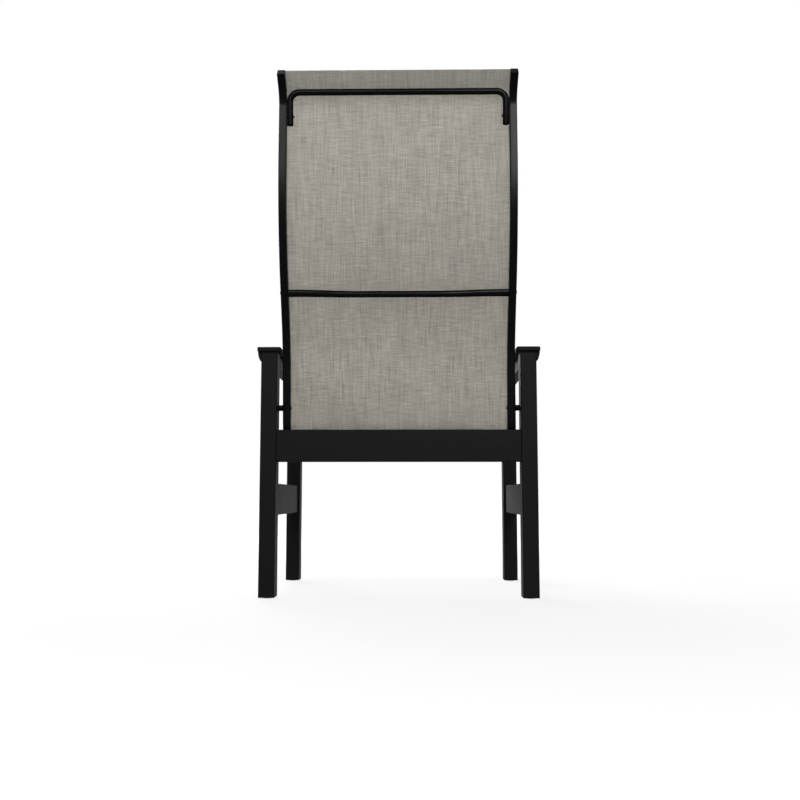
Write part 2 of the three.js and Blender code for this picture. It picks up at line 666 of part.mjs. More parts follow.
// A bar between the rails that bows away from the sling, with oval ends on the rails' inner faces
function addBowedBar(name, place) {
  const awayFromSling = new THREE.Vector3(0, Math.sin(place.angle), -Math.cos(place.angle));
  const end = railInner - SEAT_GAP;
  const turn = 2 * Math.atan(BAR_BOW / BAR_BOW_RUN);
  const radius = BAR_BOW_RUN / 2 / Math.sin(turn);
  const straight = 2 * (end - BAR_STUB - BAR_BOW_RUN);
  const places = travel({ x: -end, y: 0, angle: 0 }, [
    { name: 'stub', run: BAR_STUB },
    { name: 'away', radius, turn },
    { name: 'level', radius, turn: -turn },
    { name: 'middle', run: straight },
    { name: 'back', radius, turn: -turn },
    { name: 'level_end', radius, turn },
    { name: 'stub_end', run: BAR_STUB },
  ]);
  const frames = liftPath(places, new THREE.Vector3(0, place.y, place.z), ACROSS, awayFromSling);
  const sectionAt = (i) => {
    const inward = Math.min(1, Math.max(0, (end - Math.abs(places[i].x)) / (BAR_STUB + BAR_BOW_RUN)));
    return ellipsePoints(
      THREE.MathUtils.lerp(BAR_END_HALF_HEIGHT, BAR_RADIUS, inward),
      THREE.MathUtils.lerp(BAR_END_HALF_DEPTH, BAR_RADIUS, inward),
      TUBE_SIDES,
    );
  };
  const bores = SIDES.map(([, sign]) => rodAlongX(
    BAR_SCREW_SHANK_RADIUS + SEAT_GAP,
    sign * (railInner + CUT_OVERRUN),
    sign * (railOuter - barScrewLength - SEAT_GAP),
    place.y,
    place.z,
  ));
  addPiece(name, 'rail', cutAway(sweep(frames, sectionAt), bores));
}

function addHeadBar() {
  const up = new THREE.Vector3(0, Math.sin(headBarTilt), Math.cos(headBarTilt));
  const places = travel({ x: -headBarX, y: 0, angle: Math.PI / 2 }, [
    { name: 'rise', run: HEAD_BAR_RISE - HEAD_BAR_BEND },
    { name: 'turn_in', radius: HEAD_BAR_BEND, turn: -Math.PI / 2 },
    { name: 'crossbar', run: 2 * (headBarX - HEAD_BAR_BEND) },
    { name: 'turn_down', radius: HEAD_BAR_BEND, turn: -Math.PI / 2 },
    { name: 'fall', run: HEAD_BAR_RISE - HEAD_BAR_BEND },
  ]);
  const origin = new THREE.Vector3(0, headBarFoot.y, headBarFoot.z);
  const frames = liftPath(places, origin, ACROSS, up);
  const round = ellipsePoints(HEAD_BAR_RADIUS, HEAD_BAR_RADIUS, TUBE_SIDES);
  const cuts = [];
  for (const [side, sign] of SIDES) {
    const screwReach = HEAD_BAR_RADIUS + CUT_OVERRUN;
    cuts.push(rodAlongX(HEAD_SCREW_SHANK_RADIUS + SEAT_GAP,
      sign * (headBarX - screwReach), sign * (headBarX + screwReach), headScrew.y, headScrew.z));
    const boreRadius = headPlugRadius + SEAT_GAP;
    const boreLength = HEAD_PLUG_LENGTH + SEAT_GAP;
    const bore = new THREE.CylinderGeometry(boreRadius, boreRadius, boreLength + CUT_OVERRUN, TUBE_SIDES);
    bore.rotateX(Math.PI / 2).translate(0, 0, (boreLength - CUT_OVERRUN) / 2).rotateX(-headBarTilt);
    cuts.push(bore.translate(sign * headBarX, headBarFoot.y, headBarFoot.z));

    const plug = addPiece(`head_bar_plug_${side}`, 'plastic', new THREE.LatheGeometry([
      new THREE.Vector2(0, -HEAD_PLUG_CAP - SEAT_GAP),
      new THREE.Vector2(headPlugRadius, -HEAD_PLUG_CAP - SEAT_GAP),
      new THREE.Vector2(HEAD_BAR_RADIUS, -HEAD_PLUG_CAP / 2 - SEAT_GAP),
      new THREE.Vector2(HEAD_BAR_RADIUS, -SEAT_GAP),
      new THREE.Vector2(headPlugRadius, -SEAT_GAP),
      new THREE.Vector2(headPlugRadius, HEAD_PLUG_LENGTH - SEAT_GAP),
      new THREE.Vector2(0, HEAD_PLUG_LENGTH - SEAT_GAP),
    ], TUBE_SIDES));
    plug.rotation.x = Math.PI / 2 - headBarTilt;
    plug.position.set(sign * headBarX, headBarFoot.y, headBarFoot.z);
  }
  addPiece('head_bar', 'rail', cutAway(sweep(frames, () => round), cuts));
}

// Fasteners, turned about X with their heads at the start

function domedFastener(shankRadius, headRadius, headHeight, length) {
  return new THREE.LatheGeometry([
    new THREE.Vector2(0, -headHeight),
    new THREE.Vector2(headRadius * DOME_FLAT_SHARE, -headHeight),
    new THREE.Vector2(headRadius, -headHeight * DOME_RIM_SHARE),
    new THREE.Vector2(headRadius, 0),
    new THREE.Vector2(shankRadius, 0),
    new THREE.Vector2(shankRadius, length),
    new THREE.Vector2(0, length),
  ], TURNED_SIDES);
}

function turnedRing(innerRadius, outerRadius, length) {
  return new THREE.LatheGeometry([
    new THREE.Vector2(innerRadius, 0),
    new THREE.Vector2(outerRadius, 0),
    new THREE.Vector2(outerRadius, length),
    new THREE.Vector2(innerRadius, length),
    new THREE.Vector2(innerRadius, 0),
  ], TURNED_SIDES);
}

// Lays a turned piece along X, starting at a place and pointing to positive or negative X
function layAlongX(mesh, way, x, { y, z }) {
  mesh.rotation.z = -way * Math.PI / 2;
  mesh.position.set(x, y, z);
}

function addFasteners() {
  const mountings = [['rear', rearBolt], ['front', frontBolt]];
  const bars = [['back_bar', backBar], ['seat_bar_front', seatBarFront], ['seat_bar_rear', seatBarRear]];
  const boltLength = legInner - railInner + INSERT_LENGTH - BOLT_SHORT_OF_INSERT;
  const spacerLength = legInner - railOuter - 2 * SEAT_GAP;
  for (const [side, sign] of SIDES) {
    for (const [row, place] of mountings) {
      const bolt = domedFastener(BOLT_SHANK_RADIUS, BOLT_HEAD_RADIUS, BOLT_HEAD_HEIGHT, boltLength);
      const seat = sign * (railInner - SEAT_GAP);
      layAlongX(addPiece(`${row}_bolt_${side}`, 'steel', bolt), sign, seat, place);
      const spacer = turnedRing(BOLT_SHANK_RADIUS + SEAT_GAP, SPACER_RADIUS, spacerLength);
      const beside = sign * (railOuter + SEAT_GAP);
      layAlongX(addPiece(`${row}_spacer_${side}`, 'plastic', spacer), sign, beside, place);
      const insert = turnedRing(BOLT_SHANK_RADIUS + SEAT_GAP, insertRadius, INSERT_LENGTH);
      layAlongX(addPiece(`${row}_insert_${side}`, 'brass', insert), sign, sign * legInner, place);
    }
    for (const [bar, place] of bars) {
      const screw = domedFastener(BAR_SCREW_SHANK_RADIUS, BOLT_HEAD_RADIUS, BAR_SCREW_HEAD_HEIGHT,
        barScrewLength);
      const beside = sign * (railOuter + SEAT_GAP);
      layAlongX(addPiece(`${bar}_screw_${side}`, 'steel', screw), -sign, beside, place);
    }
    const headScrewLength = 2 * HEAD_BAR_RADIUS + HEAD_SCREW_REACH;
    const screw = domedFastener(HEAD_SCREW_SHANK_RADIUS, HEAD_SCREW_HEAD_RADIUS, HEAD_SCREW_HEAD_HEIGHT,
      headScrewLength);
    const start = headBarX - HEAD_BAR_RADIUS - SEAT_GAP;
    layAlongX(addPiece(`head_bar_screw_${side}`, 'steel', screw), sign, sign * start, headScrew);
  }
}

addLegs();
addCorbels();
addArms();
addPlanks();
addRails();
addRailCaps();
addSling();
addBowedBar('back_bar', backBar);
addBowedBar('seat_bar_front', seatBarFront);
addBowedBar('seat_bar_rear', seatBarRear);
addHeadBar();
addFasteners();

// The origin is on the floor, midway between the crest and the front lip
const extent = new THREE.Box3().setFromObject(chair);
chair.position.y = -(extent.min.y + extent.max.y) / 2;

export default chair;
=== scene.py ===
"""High-back sling patio chair: the visible pieces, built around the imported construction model.

Metres. +Z is up, the sitter faces -Y, and +X is the sitter's left.
"""

import math

import bmesh
import bpy
import numpy as np
from bpy.props import FloatProperty, FloatVectorProperty, IntProperty, PointerProperty
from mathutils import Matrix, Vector


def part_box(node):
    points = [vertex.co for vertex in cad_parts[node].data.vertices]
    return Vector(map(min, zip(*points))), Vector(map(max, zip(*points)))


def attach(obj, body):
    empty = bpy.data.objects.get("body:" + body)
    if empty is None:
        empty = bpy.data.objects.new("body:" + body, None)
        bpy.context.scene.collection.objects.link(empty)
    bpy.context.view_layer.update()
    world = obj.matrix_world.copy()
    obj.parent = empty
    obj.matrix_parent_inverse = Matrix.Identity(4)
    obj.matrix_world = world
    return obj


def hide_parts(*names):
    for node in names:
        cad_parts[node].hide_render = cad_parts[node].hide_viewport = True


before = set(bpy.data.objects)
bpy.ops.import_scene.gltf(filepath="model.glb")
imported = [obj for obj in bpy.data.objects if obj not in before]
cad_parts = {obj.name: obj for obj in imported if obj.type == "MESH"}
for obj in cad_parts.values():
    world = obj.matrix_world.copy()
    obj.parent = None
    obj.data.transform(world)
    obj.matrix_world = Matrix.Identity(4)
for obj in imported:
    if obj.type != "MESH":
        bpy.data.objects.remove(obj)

bl_info = {
    "name": "Sling Patio Chair",
    "version": (1, 0, 0),
    "blender": (4, 5, 0),
    "location": "3D View > Sidebar > Chair",
    "description": "Builds a high-back patio chair with a plank frame and a stretched sling",
    "category": "Add Mesh",
}

ROWS = ("rear", "front")
# Each side with its sign on the X axis
SIDES = {"left": 1, "right": -1}
X, Y, Z = range(3)


def mm(value):
    """Millimetres as metres."""
    return value / 1000


# Gap between a moulded cap or plug and the metal that it closes
CAP_GAP = mm(0.3)
# The head bar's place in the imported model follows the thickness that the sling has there
PACKED_SLING_THICKNESS = mm(1.6)
# Faces round the round pieces
SPLINE_SIDES = 16
SCREW_SIDES = 36
SPACER_SIDES = 40
GLIDE_SIDES = 48
# Where each kind of board starts in the pattern of the grain, and the step to its next board, in metres
GRAIN_STARTS = {
    "leg": (0, 0.31),
    "cross_plank": (2, 0.47),
    "arm_plank": (3, 0.53),
    "stretcher": (4, 0.59),
    "arm": (5, 0.61),
    "corbel": (7, 0.37),
}
SENSOR_WIDTH_MM = 36
# Least cosine of the angle between two directions that count as parallel
PARALLEL_COSINE = 0.9


def four(kind):
    """Names of the four pieces of a kind, one at each corner of the chair."""
    return [f"{row}_{kind}_{side}" for row in ROWS for side in SIDES]


def linear(code):
    """A hex sRGB colour as linear red, green and blue."""
    channels = [int(code[i : i + 2], 16) / 255 for i in (1, 3, 5)]
    return tuple(c / 12.92 if c <= 0.04045 else ((c + 0.055) / 1.055) ** 2.4 for c in channels)


def shaded(colour, share=1):
    """A colour as a node takes it, at a share of its brightness."""
    return (*(share * channel for channel in colour), 1.0)


# Settings: sizes and colours that a user would change


class BoardSettings(bpy.types.PropertyGroup):
    """Edges and corners of the plank frame."""

    edge: FloatProperty(
        name="Plank edge", description="Rounding of the legs' and planks' long edges",
        default=mm(2.8), min=0, unit="LENGTH",
    )
    end_edge: FloatProperty(
        name="End edge", description="Rounding round the sawn ends of legs and planks",
        default=mm(0.8), min=0, unit="LENGTH",
    )
    arm_edge: FloatProperty(
        name="Arm edge", description="Rounding of the arms' top and bottom edges",
        default=mm(2), min=0, unit="LENGTH",
    )
    arm_rear_corner: FloatProperty(
        name="Arm rear corner", description="Corner radius at the rear ends of the arms",
        default=mm(5), min=0, unit="LENGTH",
    )
    arm_front_corner: FloatProperty(
        name="Arm front corner", description="Corner radius at the front ends of the arms",
        default=mm(20), min=0, unit="LENGTH",
    )
    corbel_edge: FloatProperty(
        name="Corbel edge", description="Rounding of the corbels' edges",
        default=mm(0.7), min=0, unit="LENGTH",
    )
    corbel_bulge: FloatProperty(
        name="Corbel bulge", description="Pull of the corbels' curve to the corner, from 0.5 (flat) to 1",
        default=0.8, min=0.5, max=1, subtype="FACTOR",
    )
    glide_edge: FloatProperty(
        name="Glide edge", description="Rounding of the glides' lower rims",
        default=mm(0.8), min=0, unit="LENGTH",
    )


class RailSettings(bpy.types.PropertyGroup):
    """Section and side profile of the two bent rails. A lean is measured back from the vertical."""

    depth: FloatProperty(
        name="Depth", description="Depth of the section, square to the sling",
        default=mm(22), min=0, unit="LENGTH",
    )
    corner: FloatProperty(
        name="Corner", description="Corner radius of the section",
        default=mm(2.5), min=0, unit="LENGTH",
    )
    groove_under_face: FloatProperty(
        name="Groove under face", description="From the sitter's face to the middle of the groove",
        default=mm(4.6), min=0, unit="LENGTH",
    )
    groove_inset: FloatProperty(
        name="Groove inset", description="From the inner face to the centre of the spline",
        default=mm(6), min=0, unit="LENGTH",
    )
    groove_radius: FloatProperty(
        name="Groove radius", description="Radius of the round part of the groove",
        default=mm(3.3), min=0, unit="LENGTH",
    )
    groove_mouth: FloatProperty(
        name="Groove mouth", description="Width of the slot that the sling leaves by",
        default=mm(2.8), min=0, unit="LENGTH",
    )
    spline_radius: FloatProperty(
        name="Spline radius", description="Radius of the rods that hold the sling's edges",
        default=mm(2.8), min=0, unit="LENGTH",
    )
    behind_plank: FloatProperty(
        name="Gap to rear plank", description="From the rear plank's front face to the rails",
        default=mm(0.5), min=0, unit="LENGTH",
    )
    foot_above_plank: FloatProperty(
        name="Foot above plank", description="From the rear plank's top to the start of the back",
        default=mm(22.5), min=0, unit="LENGTH",
    )
    foot_lean: FloatProperty(
        name="Foot lean", description="Lean of the lowest run of the back",
        default=math.radians(5.5), subtype="ANGLE",
    )
    foot_run: FloatProperty(
        name="Foot run", description="Length of the lowest run of the back",
        default=mm(120.4), min=0, unit="LENGTH",
    )
    elbow_radius: FloatProperty(
        name="Elbow radius", description="Bend between the foot and the reclined run",
        default=mm(388), min=0, unit="LENGTH",
    )
    recline_lean: FloatProperty(
        name="Recline lean", description="Lean of the reclined run",
        default=math.radians(22.5), subtype="ANGLE",
    )
    recline_run: FloatProperty(
        name="Recline run", description="Length of the reclined run",
        default=mm(88), min=0, unit="LENGTH",
    )
    shoulder_radius: FloatProperty(
        name="Shoulder radius", description="Long bend back to the vertical",
        default=mm(755), min=0, unit="LENGTH",
    )
    upright_lean: FloatProperty(
        name="Upright lean", description="Lean of the run beside the head bar",
        default=math.radians(-1.3), subtype="ANGLE",
    )
    upright_run: FloatProperty(
        name="Upright run", description="Length of the run beside the head bar",
        default=mm(99.6), min=0, unit="LENGTH",
    )
    flare_radius: FloatProperty(
        name="Flare radius", description="Bend of the top that turns back",
        default=mm(66), min=0, unit="LENGTH",
    )
    flare_lean: FloatProperty(
        name="Flare lean", description="Lean of the crest",
        default=math.radians(50), subtype="ANGLE",
    )
    crest_run: FloatProperty(
        name="Crest run", description="Length of the straight end at the top",
        default=mm(28.5), min=0, unit="LENGTH",
    )
    seat_bend_radius: FloatProperty(
        name="Seat bend radius", description="Bend between the seat and the back",
        default=mm(75), min=0, unit="LENGTH",
    )
    seat_lean: FloatProperty(
        name="Seat lean", description="Lean of the seat run, past the horizontal",
        default=math.radians(101.6), subtype="ANGLE",
    )
    seat_past_bolt: FloatProperty(
        name="Seat past bolt", description="How far the seat run goes on past the front bolt",
        default=mm(6), min=0, unit="LENGTH",
    )
    waterfall_radius: FloatProperty(
        name="Waterfall radius", description="Bend at the front of the seat",
        default=mm(70), min=0, unit="LENGTH",
    )
    waterfall_lean: FloatProperty(
        name="Waterfall lean", description="Lean of the front lip",
        default=math.radians(50), subtype="ANGLE",
    )
    lip_run: FloatProperty(
        name="Lip run", description="Length of the straight front lip",
        default=mm(12), min=0, unit="LENGTH",
    )
    cap_edge: FloatProperty(
        name="Cap edge", description="Rounding of the end caps' outer rims",
        default=mm(2), min=0, unit="LENGTH",
    )
    cap_thickness: FloatProperty(
        name="Cap thickness", description="Thickness of the end caps",
        default=mm(2.5), min=0, unit="LENGTH",
    )


class SlingSettings(bpy.types.PropertyGroup):
    """The stretched cloth and its yarns."""

    thickness: FloatProperty(
        name="Thickness", description="Thickness of the woven cloth",
        default=mm(1.1), min=0, unit="LENGTH",
    )
    past_rail: FloatProperty(
        name="Past rail", description="How far the cloth's free edges reach past the rails' ends",
        default=mm(2.5), min=0, unit="LENGTH",
    )
    edge_short: FloatProperty(
        name="Edge short", description="From the rails' ends to the ends of the edges in the grooves",
        default=mm(3), min=0, unit="LENGTH",
    )
    clearance: FloatProperty(
        name="Clearance", description="Gap between the cloth's free ends and the rails' inner faces",
        default=mm(0.3), min=0, unit="LENGTH",
    )
    seat_pull: FloatProperty(
        name="Seat pull", description="How far the taut cloth bridges the seat bend at mid-width",
        default=mm(7), min=0, unit="LENGTH",
    )
    seat_pull_run: FloatProperty(
        name="Seat pull run", description="How far along the cloth the seat pull fades",
        default=mm(95), min=mm(1), unit="LENGTH",
    )
    row: FloatProperty(
        name="Row", description="Longest step between rows of faces along the cloth",
        default=mm(14), min=mm(1), unit="LENGTH",
    )
    columns: IntProperty(
        name="Columns", description="Faces across the cloth", default=48, min=2,
    )
    yarn: FloatProperty(
        name="Yarn spacing", description="Spacing of the woven yarns",
        default=mm(1.1), min=0, unit="LENGTH",
    )
    shown_yarn: FloatProperty(
        name="Shown yarn width", description="Width at which single yarns are told apart",
        default=mm(1.7), min=0, unit="LENGTH",
    )
    warp_slub: FloatProperty(
        name="Warp slub length", description="Length of a dark stretch in a yarn along the cloth",
        default=mm(75), min=0, unit="LENGTH",
    )
    weft_slub: FloatProperty(
        name="Weft slub length", description="Length of a dark stretch in a yarn across the cloth",
        default=mm(34), min=0, unit="LENGTH",
    )
    through: FloatProperty(
        name="Light through", description="Share of the light that passes through the open weave",
        default=0.39, min=0, max=1, subtype="FACTOR",
    )


class BarSettings(bpy.types.PropertyGroup):
    """The bowed bars between the rails, and the head bar."""

    behind_centre: FloatProperty(
        name="Behind centre", description="From the rails' centreline back to the bars",
        default=mm(4), unit="LENGTH",
    )
    radius: FloatProperty(
        name="Radius", description="Radius of the bowed bars at mid-span",
        default=mm(7.7), min=0, unit="LENGTH",
    )
    end_half_height: FloatProperty(
        name="End half height", description="Half the height of the flattened bar ends",
        default=mm(8.9), min=0, unit="LENGTH",
    )
    end_half_depth: FloatProperty(
        name="End half depth", description="Half the depth of the flattened bar ends",
        default=mm(6.5), min=0, unit="LENGTH",
    )
    bow: FloatProperty(
        name="Bow", description="How far the bars' middles stand back from their ends",
        default=mm(14), min=0, unit="LENGTH",
    )
    bow_run: FloatProperty(
        name="Bow run", description="Length over which a bar bends away",
        default=mm(150), min=0, unit="LENGTH",
    )
    stub: FloatProperty(
        name="Stub", description="Straight end of a bowed bar",
        default=mm(14), min=0, unit="LENGTH",
    )
    back_up_recline: FloatProperty(
        name="Back bar place", description="How far up the reclined run the back bar sits",
        default=mm(71.6), min=0, unit="LENGTH",
    )
    seat_rear_along: FloatProperty(
        name="Rear seat bar place", description="From the seat run's rear end to the rear bar",
        default=mm(40), min=0, unit="LENGTH",
    )
    seat_front_behind_bolt: FloatProperty(
        name="Front seat bar place", description="From the front bolts back to the front bar",
        default=mm(85.4), min=0, unit="LENGTH",
    )
    head_radius: FloatProperty(
        name="Head bar radius", description="Radius of the head bar's tube",
        default=mm(7.5), min=0, unit="LENGTH",
    )
    head_to_sling: FloatProperty(
        name="Head bar to sling", description="From the sling's rear face to the head bar's ends",
        default=mm(0.8), min=0, unit="LENGTH",
    )
    head_below_flare: FloatProperty(
        name="Head bar place", description="From the flare's start down to the head bar's ends",
        default=mm(36.8), min=0, unit="LENGTH",
    )
    head_rise: FloatProperty(
        name="Head bar rise", description="From the head bar's ends to its crossbar's centreline",
        default=mm(74.2), min=0, unit="LENGTH",
    )
    head_bend: FloatProperty(
        name="Head bar bend", description="Bend radius of the head bar's corners",
        default=mm(22), min=0, unit="LENGTH",
    )
    head_lean: FloatProperty(
        name="Head bar lean", description="Lean of the head bar",
        default=math.radians(10), subtype="ANGLE",
    )
    plug_cap: FloatProperty(
        name="Plug cap", description="Thickness of the head bar plugs' caps",
        default=mm(2), min=0, unit="LENGTH",
    )
    plug_dome_share: FloatProperty(
        name="Plug dome share", description="How far the plugs' domes draw in, as a share of the radius",
        default=0.35, min=0, max=0.9, subtype="FACTOR",
    )
    sides: IntProperty(
        name="Tube sides", description="Faces round a tube", default=28, min=8,
    )


class FastenerSettings(bpy.types.PropertyGroup):
    """Button-head bolts and screws."""

    socket_share: FloatProperty(
        name="Socket share", description="Hexagon socket's half width as a share of the head's radius",
        default=0.4, min=0.1, max=0.8, subtype="FACTOR",
    )
    socket_depth_share: FloatProperty(
        name="Socket depth share", description="Socket's depth as a share of the head's height",
        default=0.7, min=0.1, max=0.9, subtype="FACTOR",
    )
    bolt_shank: FloatProperty(
        name="Bolt shank", description="Radius of the bolts' shanks",
        default=mm(3), min=0, unit="LENGTH",
    )
    bar_screw_shank: FloatProperty(
        name="Bar screw shank", description="Radius of the bar screws' shanks",
        default=mm(2.5), min=0, unit="LENGTH",
    )
    head_screw_shank: FloatProperty(
        name="Head screw shank", description="Radius of the head bar screws' shanks",
        default=mm(1.9), min=0, unit="LENGTH",
    )
    bolt_head_height: FloatProperty(
        name="Bolt head height", description="Height of the bolts' domed heads",
        default=mm(2.4), min=0, unit="LENGTH",
    )
    bar_screw_head_height: FloatProperty(
        name="Bar screw head height", description="Height of the bar screws' low heads",
        default=mm(1), min=0, unit="LENGTH",
    )
    screw_head_height: FloatProperty(
        name="Screw head height", description="Height of the head bar screws' domed heads",
        default=mm(2.2), min=0, unit="LENGTH",
    )
    spacer_edge: FloatProperty(
        name="Spacer edge", description="Chamfer on the spacers' rims",
        default=mm(0.6), min=0, unit="LENGTH",
    )
    spacer_bore: FloatProperty(
        name="Spacer bore", description="Radius of the spacers' bores",
        default=mm(3.3), min=0, unit="LENGTH",
    )


class FinishSettings(bpy.types.PropertyGroup):
    """Colours of the finishes."""

    lumber: FloatVectorProperty(
        name="Poly lumber", description="Colour of the planks, legs and arms",
        default=linear("#0c0c0e"), size=3, min=0, max=1, subtype="COLOR",
    )
    powder_coat: FloatVectorProperty(
        name="Powder coat", description="Colour of the rails and bars",
        default=linear("#08080a"), size=3, min=0, max=1, subtype="COLOR",
    )
    yarn_light: FloatVectorProperty(
        name="Light yarn", description="Lightest yarns of the sling",
        default=linear("#bbb7ab"), size=3, min=0, max=1, subtype="COLOR",
    )
    yarn_dark: FloatVectorProperty(
        name="Dark yarn", description="Darkest yarns of the sling",
        default=linear("#7a756c"), size=3, min=0, max=1, subtype="COLOR",
    )
    nylon: FloatVectorProperty(
        name="Nylon", description="Colour of caps, plugs, glides, spacers and splines",
        default=linear("#08080a"), size=3, min=0, max=1, subtype="COLOR",
    )
    steel: FloatVectorProperty(
        name="Coated steel", description="Colour of the bolts and screws",
        default=linear("#17181a"), size=3, min=0, max=1, subtype="COLOR",
    )
    brass: FloatVectorProperty(
        name="Brass", description="Colour of the threaded inserts",
        default=linear("#c39a55"), size=3, min=0, max=1, subtype="COLOR",
    )
    floor: FloatVectorProperty(
        name="Floor", description="Colour of the studio floor",
        default=linear("#909090"), size=3, min=0, max=1, subtype="COLOR",
    )


class StageSettings(bpy.types.PropertyGroup):
    """Camera, lamps and floor."""

    lens: FloatProperty(
        name="Lens", description="Focal length for a 36 mm wide sensor, in millimetres",
        default=43.456, min=1, unit="CAMERA",
    )
    eye_right: FloatProperty(
        name="Camera to the right", description="From the chair's middle towards negative X",
        default=mm(39.2), unit="LENGTH",
    )
    eye_behind: FloatProperty(
        name="Camera behind", description="From the rear legs' rear faces to the camera",
        default=mm(2267.8), min=0, unit="LENGTH",
    )
    eye_height: FloatProperty(
        name="Camera height", description="Height of the camera over the floor",
        default=mm(235.67), min=0, unit="LENGTH",
    )
    aim_up: FloatProperty(
        name="Aim up", description="How far the camera is pitched up",
        default=0.0998, subtype="ANGLE",
    )
    aim_left: FloatProperty(
        name="Aim left", description="How far the camera is turned to the left",
        default=0.0158, subtype="ANGLE",
    )
    sky: FloatProperty(
        name="Sky", description="Strength of the world's light on the chair",
        default=0.45, min=0,
    )
    ceiling: FloatProperty(
        name="Ceiling", description="Brightness of the ceiling as a share of the walls'",
        default=0.1, min=0, max=1, subtype="FACTOR",
    )
    floor_size: FloatProperty(
        name="Floor size", description="Side of the square floor",
        default=40.0, min=1, unit="LENGTH",
    )
    floor_lift: FloatProperty(
        name="Floor lift", description="White that the far floor adds where it is seen or mirrored",
        default=0.93, min=0,
    )
    # Under the chair the floor adds less white, a painted shade round the chair on top of its rendered
    # shadow
    painted_shade_lift: FloatProperty(
        name="Near lift", description="The same under the chair, where its soft shadow lies",
        default=0.7, min=0,
    )
    # The painted shade round the chair fades out between these two distances from its middle
    painted_shade_fade_from: FloatProperty(
        name="Lift from", description="How far from the chair's middle the floor starts to whiten",
        default=0.8, min=0, unit="LENGTH",
    )
    painted_shade_fade_to: FloatProperty(
        name="Lift to", description="How far from the chair's middle the floor is whitest",
        default=2.6, min=0, unit="LENGTH",
    )
    key_left: FloatProperty(
        name="Left key", description="Power of the lamp behind the camera on its left, in watts",
        default=128.0, min=0, unit="POWER",
    )
    key_right: FloatProperty(
        name="Right key", description="Power of the lamp behind the camera on its right, in watts",
        default=272.0, min=0, unit="POWER",
    )
    key_front: FloatProperty(
        name="Front key", description="Power of the gloss lamp in front of the chair, in watts",
        default=60.0, min=0, unit="POWER",
    )
    key_side: FloatProperty(
        name="Side keys", description="Power of each gloss lamp beside the chair, in watts",
        default=300.0, min=0, unit="POWER",
    )
    front: FloatProperty(
        name="Front", description="Power of the lamp in front of the chair, in watts",
        default=80.0, min=0, unit="POWER",
    )
    top: FloatProperty(
        name="Top", description="Power of the lamp over the chair, in watts",
        default=30.0, min=0, unit="POWER",
    )
    fill: FloatProperty(
        name="Fill", description="Matte light from high behind the camera, in watts per square metre",
        default=2.12, min=0,
    )
    fill_up: FloatProperty(
        name="Fill height", description="How far up the matte light comes from",
        default=math.radians(42), subtype="ANGLE",
    )
    fill_spread: FloatProperty(
        name="Fill spread", description="Width of the part of the sky that the matte light comes from",
        default=math.radians(40), min=0, subtype="ANGLE",
    )


class ChairSettings(bpy.types.PropertyGroup):
    """Everything that the chair's operators read."""

    boards: PointerProperty(type=BoardSettings)
    rails: PointerProperty(type=RailSettings)
    sling: PointerProperty(type=SlingSettings)
    bars: PointerProperty(type=BarSettings)
    fasteners: PointerProperty(type=FastenerSettings)
    finishes: PointerProperty(type=FinishSettings)
    stage: PointerProperty(type=StageSettings)


# Materials


def add(tree, kind, inputs=None, **settings):
    """Adds a node with its settings, and fills or links its inputs, given by name or number."""
    node = tree.nodes.new(kind)
    for name, value in settings.items():
        setattr(node, name, value)
    for name, value in (inputs or {}).items():
        if isinstance(value, bpy.types.NodeSocket):
            tree.links.new(value, node.inputs[name])
        else:
            node.inputs[name].default_value = value
    return node


def extruded_poly_lumber(tree, chair):
    """Recycled HDPE, extruded and brushed: a matte black with faint streaks along each board."""
    lumber = chair.finishes.lumber
    # Brush marks are about 0.5 mm wide on the real board. They are drawn 1.6 mm wide so that they show
    mark_width, mark_length = mm(1.6), mm(90)
    # The plastic's flow leaves broader and longer bands, which make half of the colour's changes
    band_width, band_length, band_share = mm(9), mm(400), 0.5
    place = add(tree, "ShaderNodeAttribute", attribute_name="grain")
    marks_at = add(tree, "ShaderNodeVectorMath", {
        0: place.outputs["Vector"], 1: (1 / mark_width, 1 / mark_width, 1 / mark_length),
    }, operation="MULTIPLY")
    marks = add(tree, "ShaderNodeTexNoise", {
        "Vector": marks_at.outputs[0], "Scale": 1.0, "Detail": 2.0, "Roughness": 0.5,
    })
    bands_at = add(tree, "ShaderNodeVectorMath", {
        0: place.outputs["Vector"], 1: (1 / band_width, 1 / band_width, 1 / band_length),
    }, operation="MULTIPLY")
    bands = add(tree, "ShaderNodeTexNoise", {"Vector": bands_at.outputs[0], "Scale": 1.0, "Detail": 1.0})
    blend = add(tree, "ShaderNodeMix", {
        0: band_share, 2: marks.outputs[0], 3: bands.outputs[0],
    }, data_type="FLOAT")
    colour = add(tree, "ShaderNodeMix", {
        0: blend.outputs[0], 6: shaded(lumber, share=0.7), 7: shaded(lumber, share=1.35),
    }, data_type="RGBA")
    rough = add(tree, "ShaderNodeMapRange", {
        "Value": marks.outputs[0], "From Min": 0.3, "From Max": 0.7, "To Min": 0.57, "To Max": 0.65,
    })
    relief = add(tree, "ShaderNodeBump", {
        "Height": marks.outputs[0], "Strength": 0.35, "Distance": mm(0.12),
    })
    # The real chair's black finishes hardly shine, so their specular levels are far below 0.5
    return add(tree, "ShaderNodeBsdfPrincipled", {
        "Base Color": colour.outputs[2],
        "Roughness": rough.outputs[0],
        "IOR": 1.5,
        "Specular IOR Level": 0.043,
        "Normal": relief.outputs[0],
    })


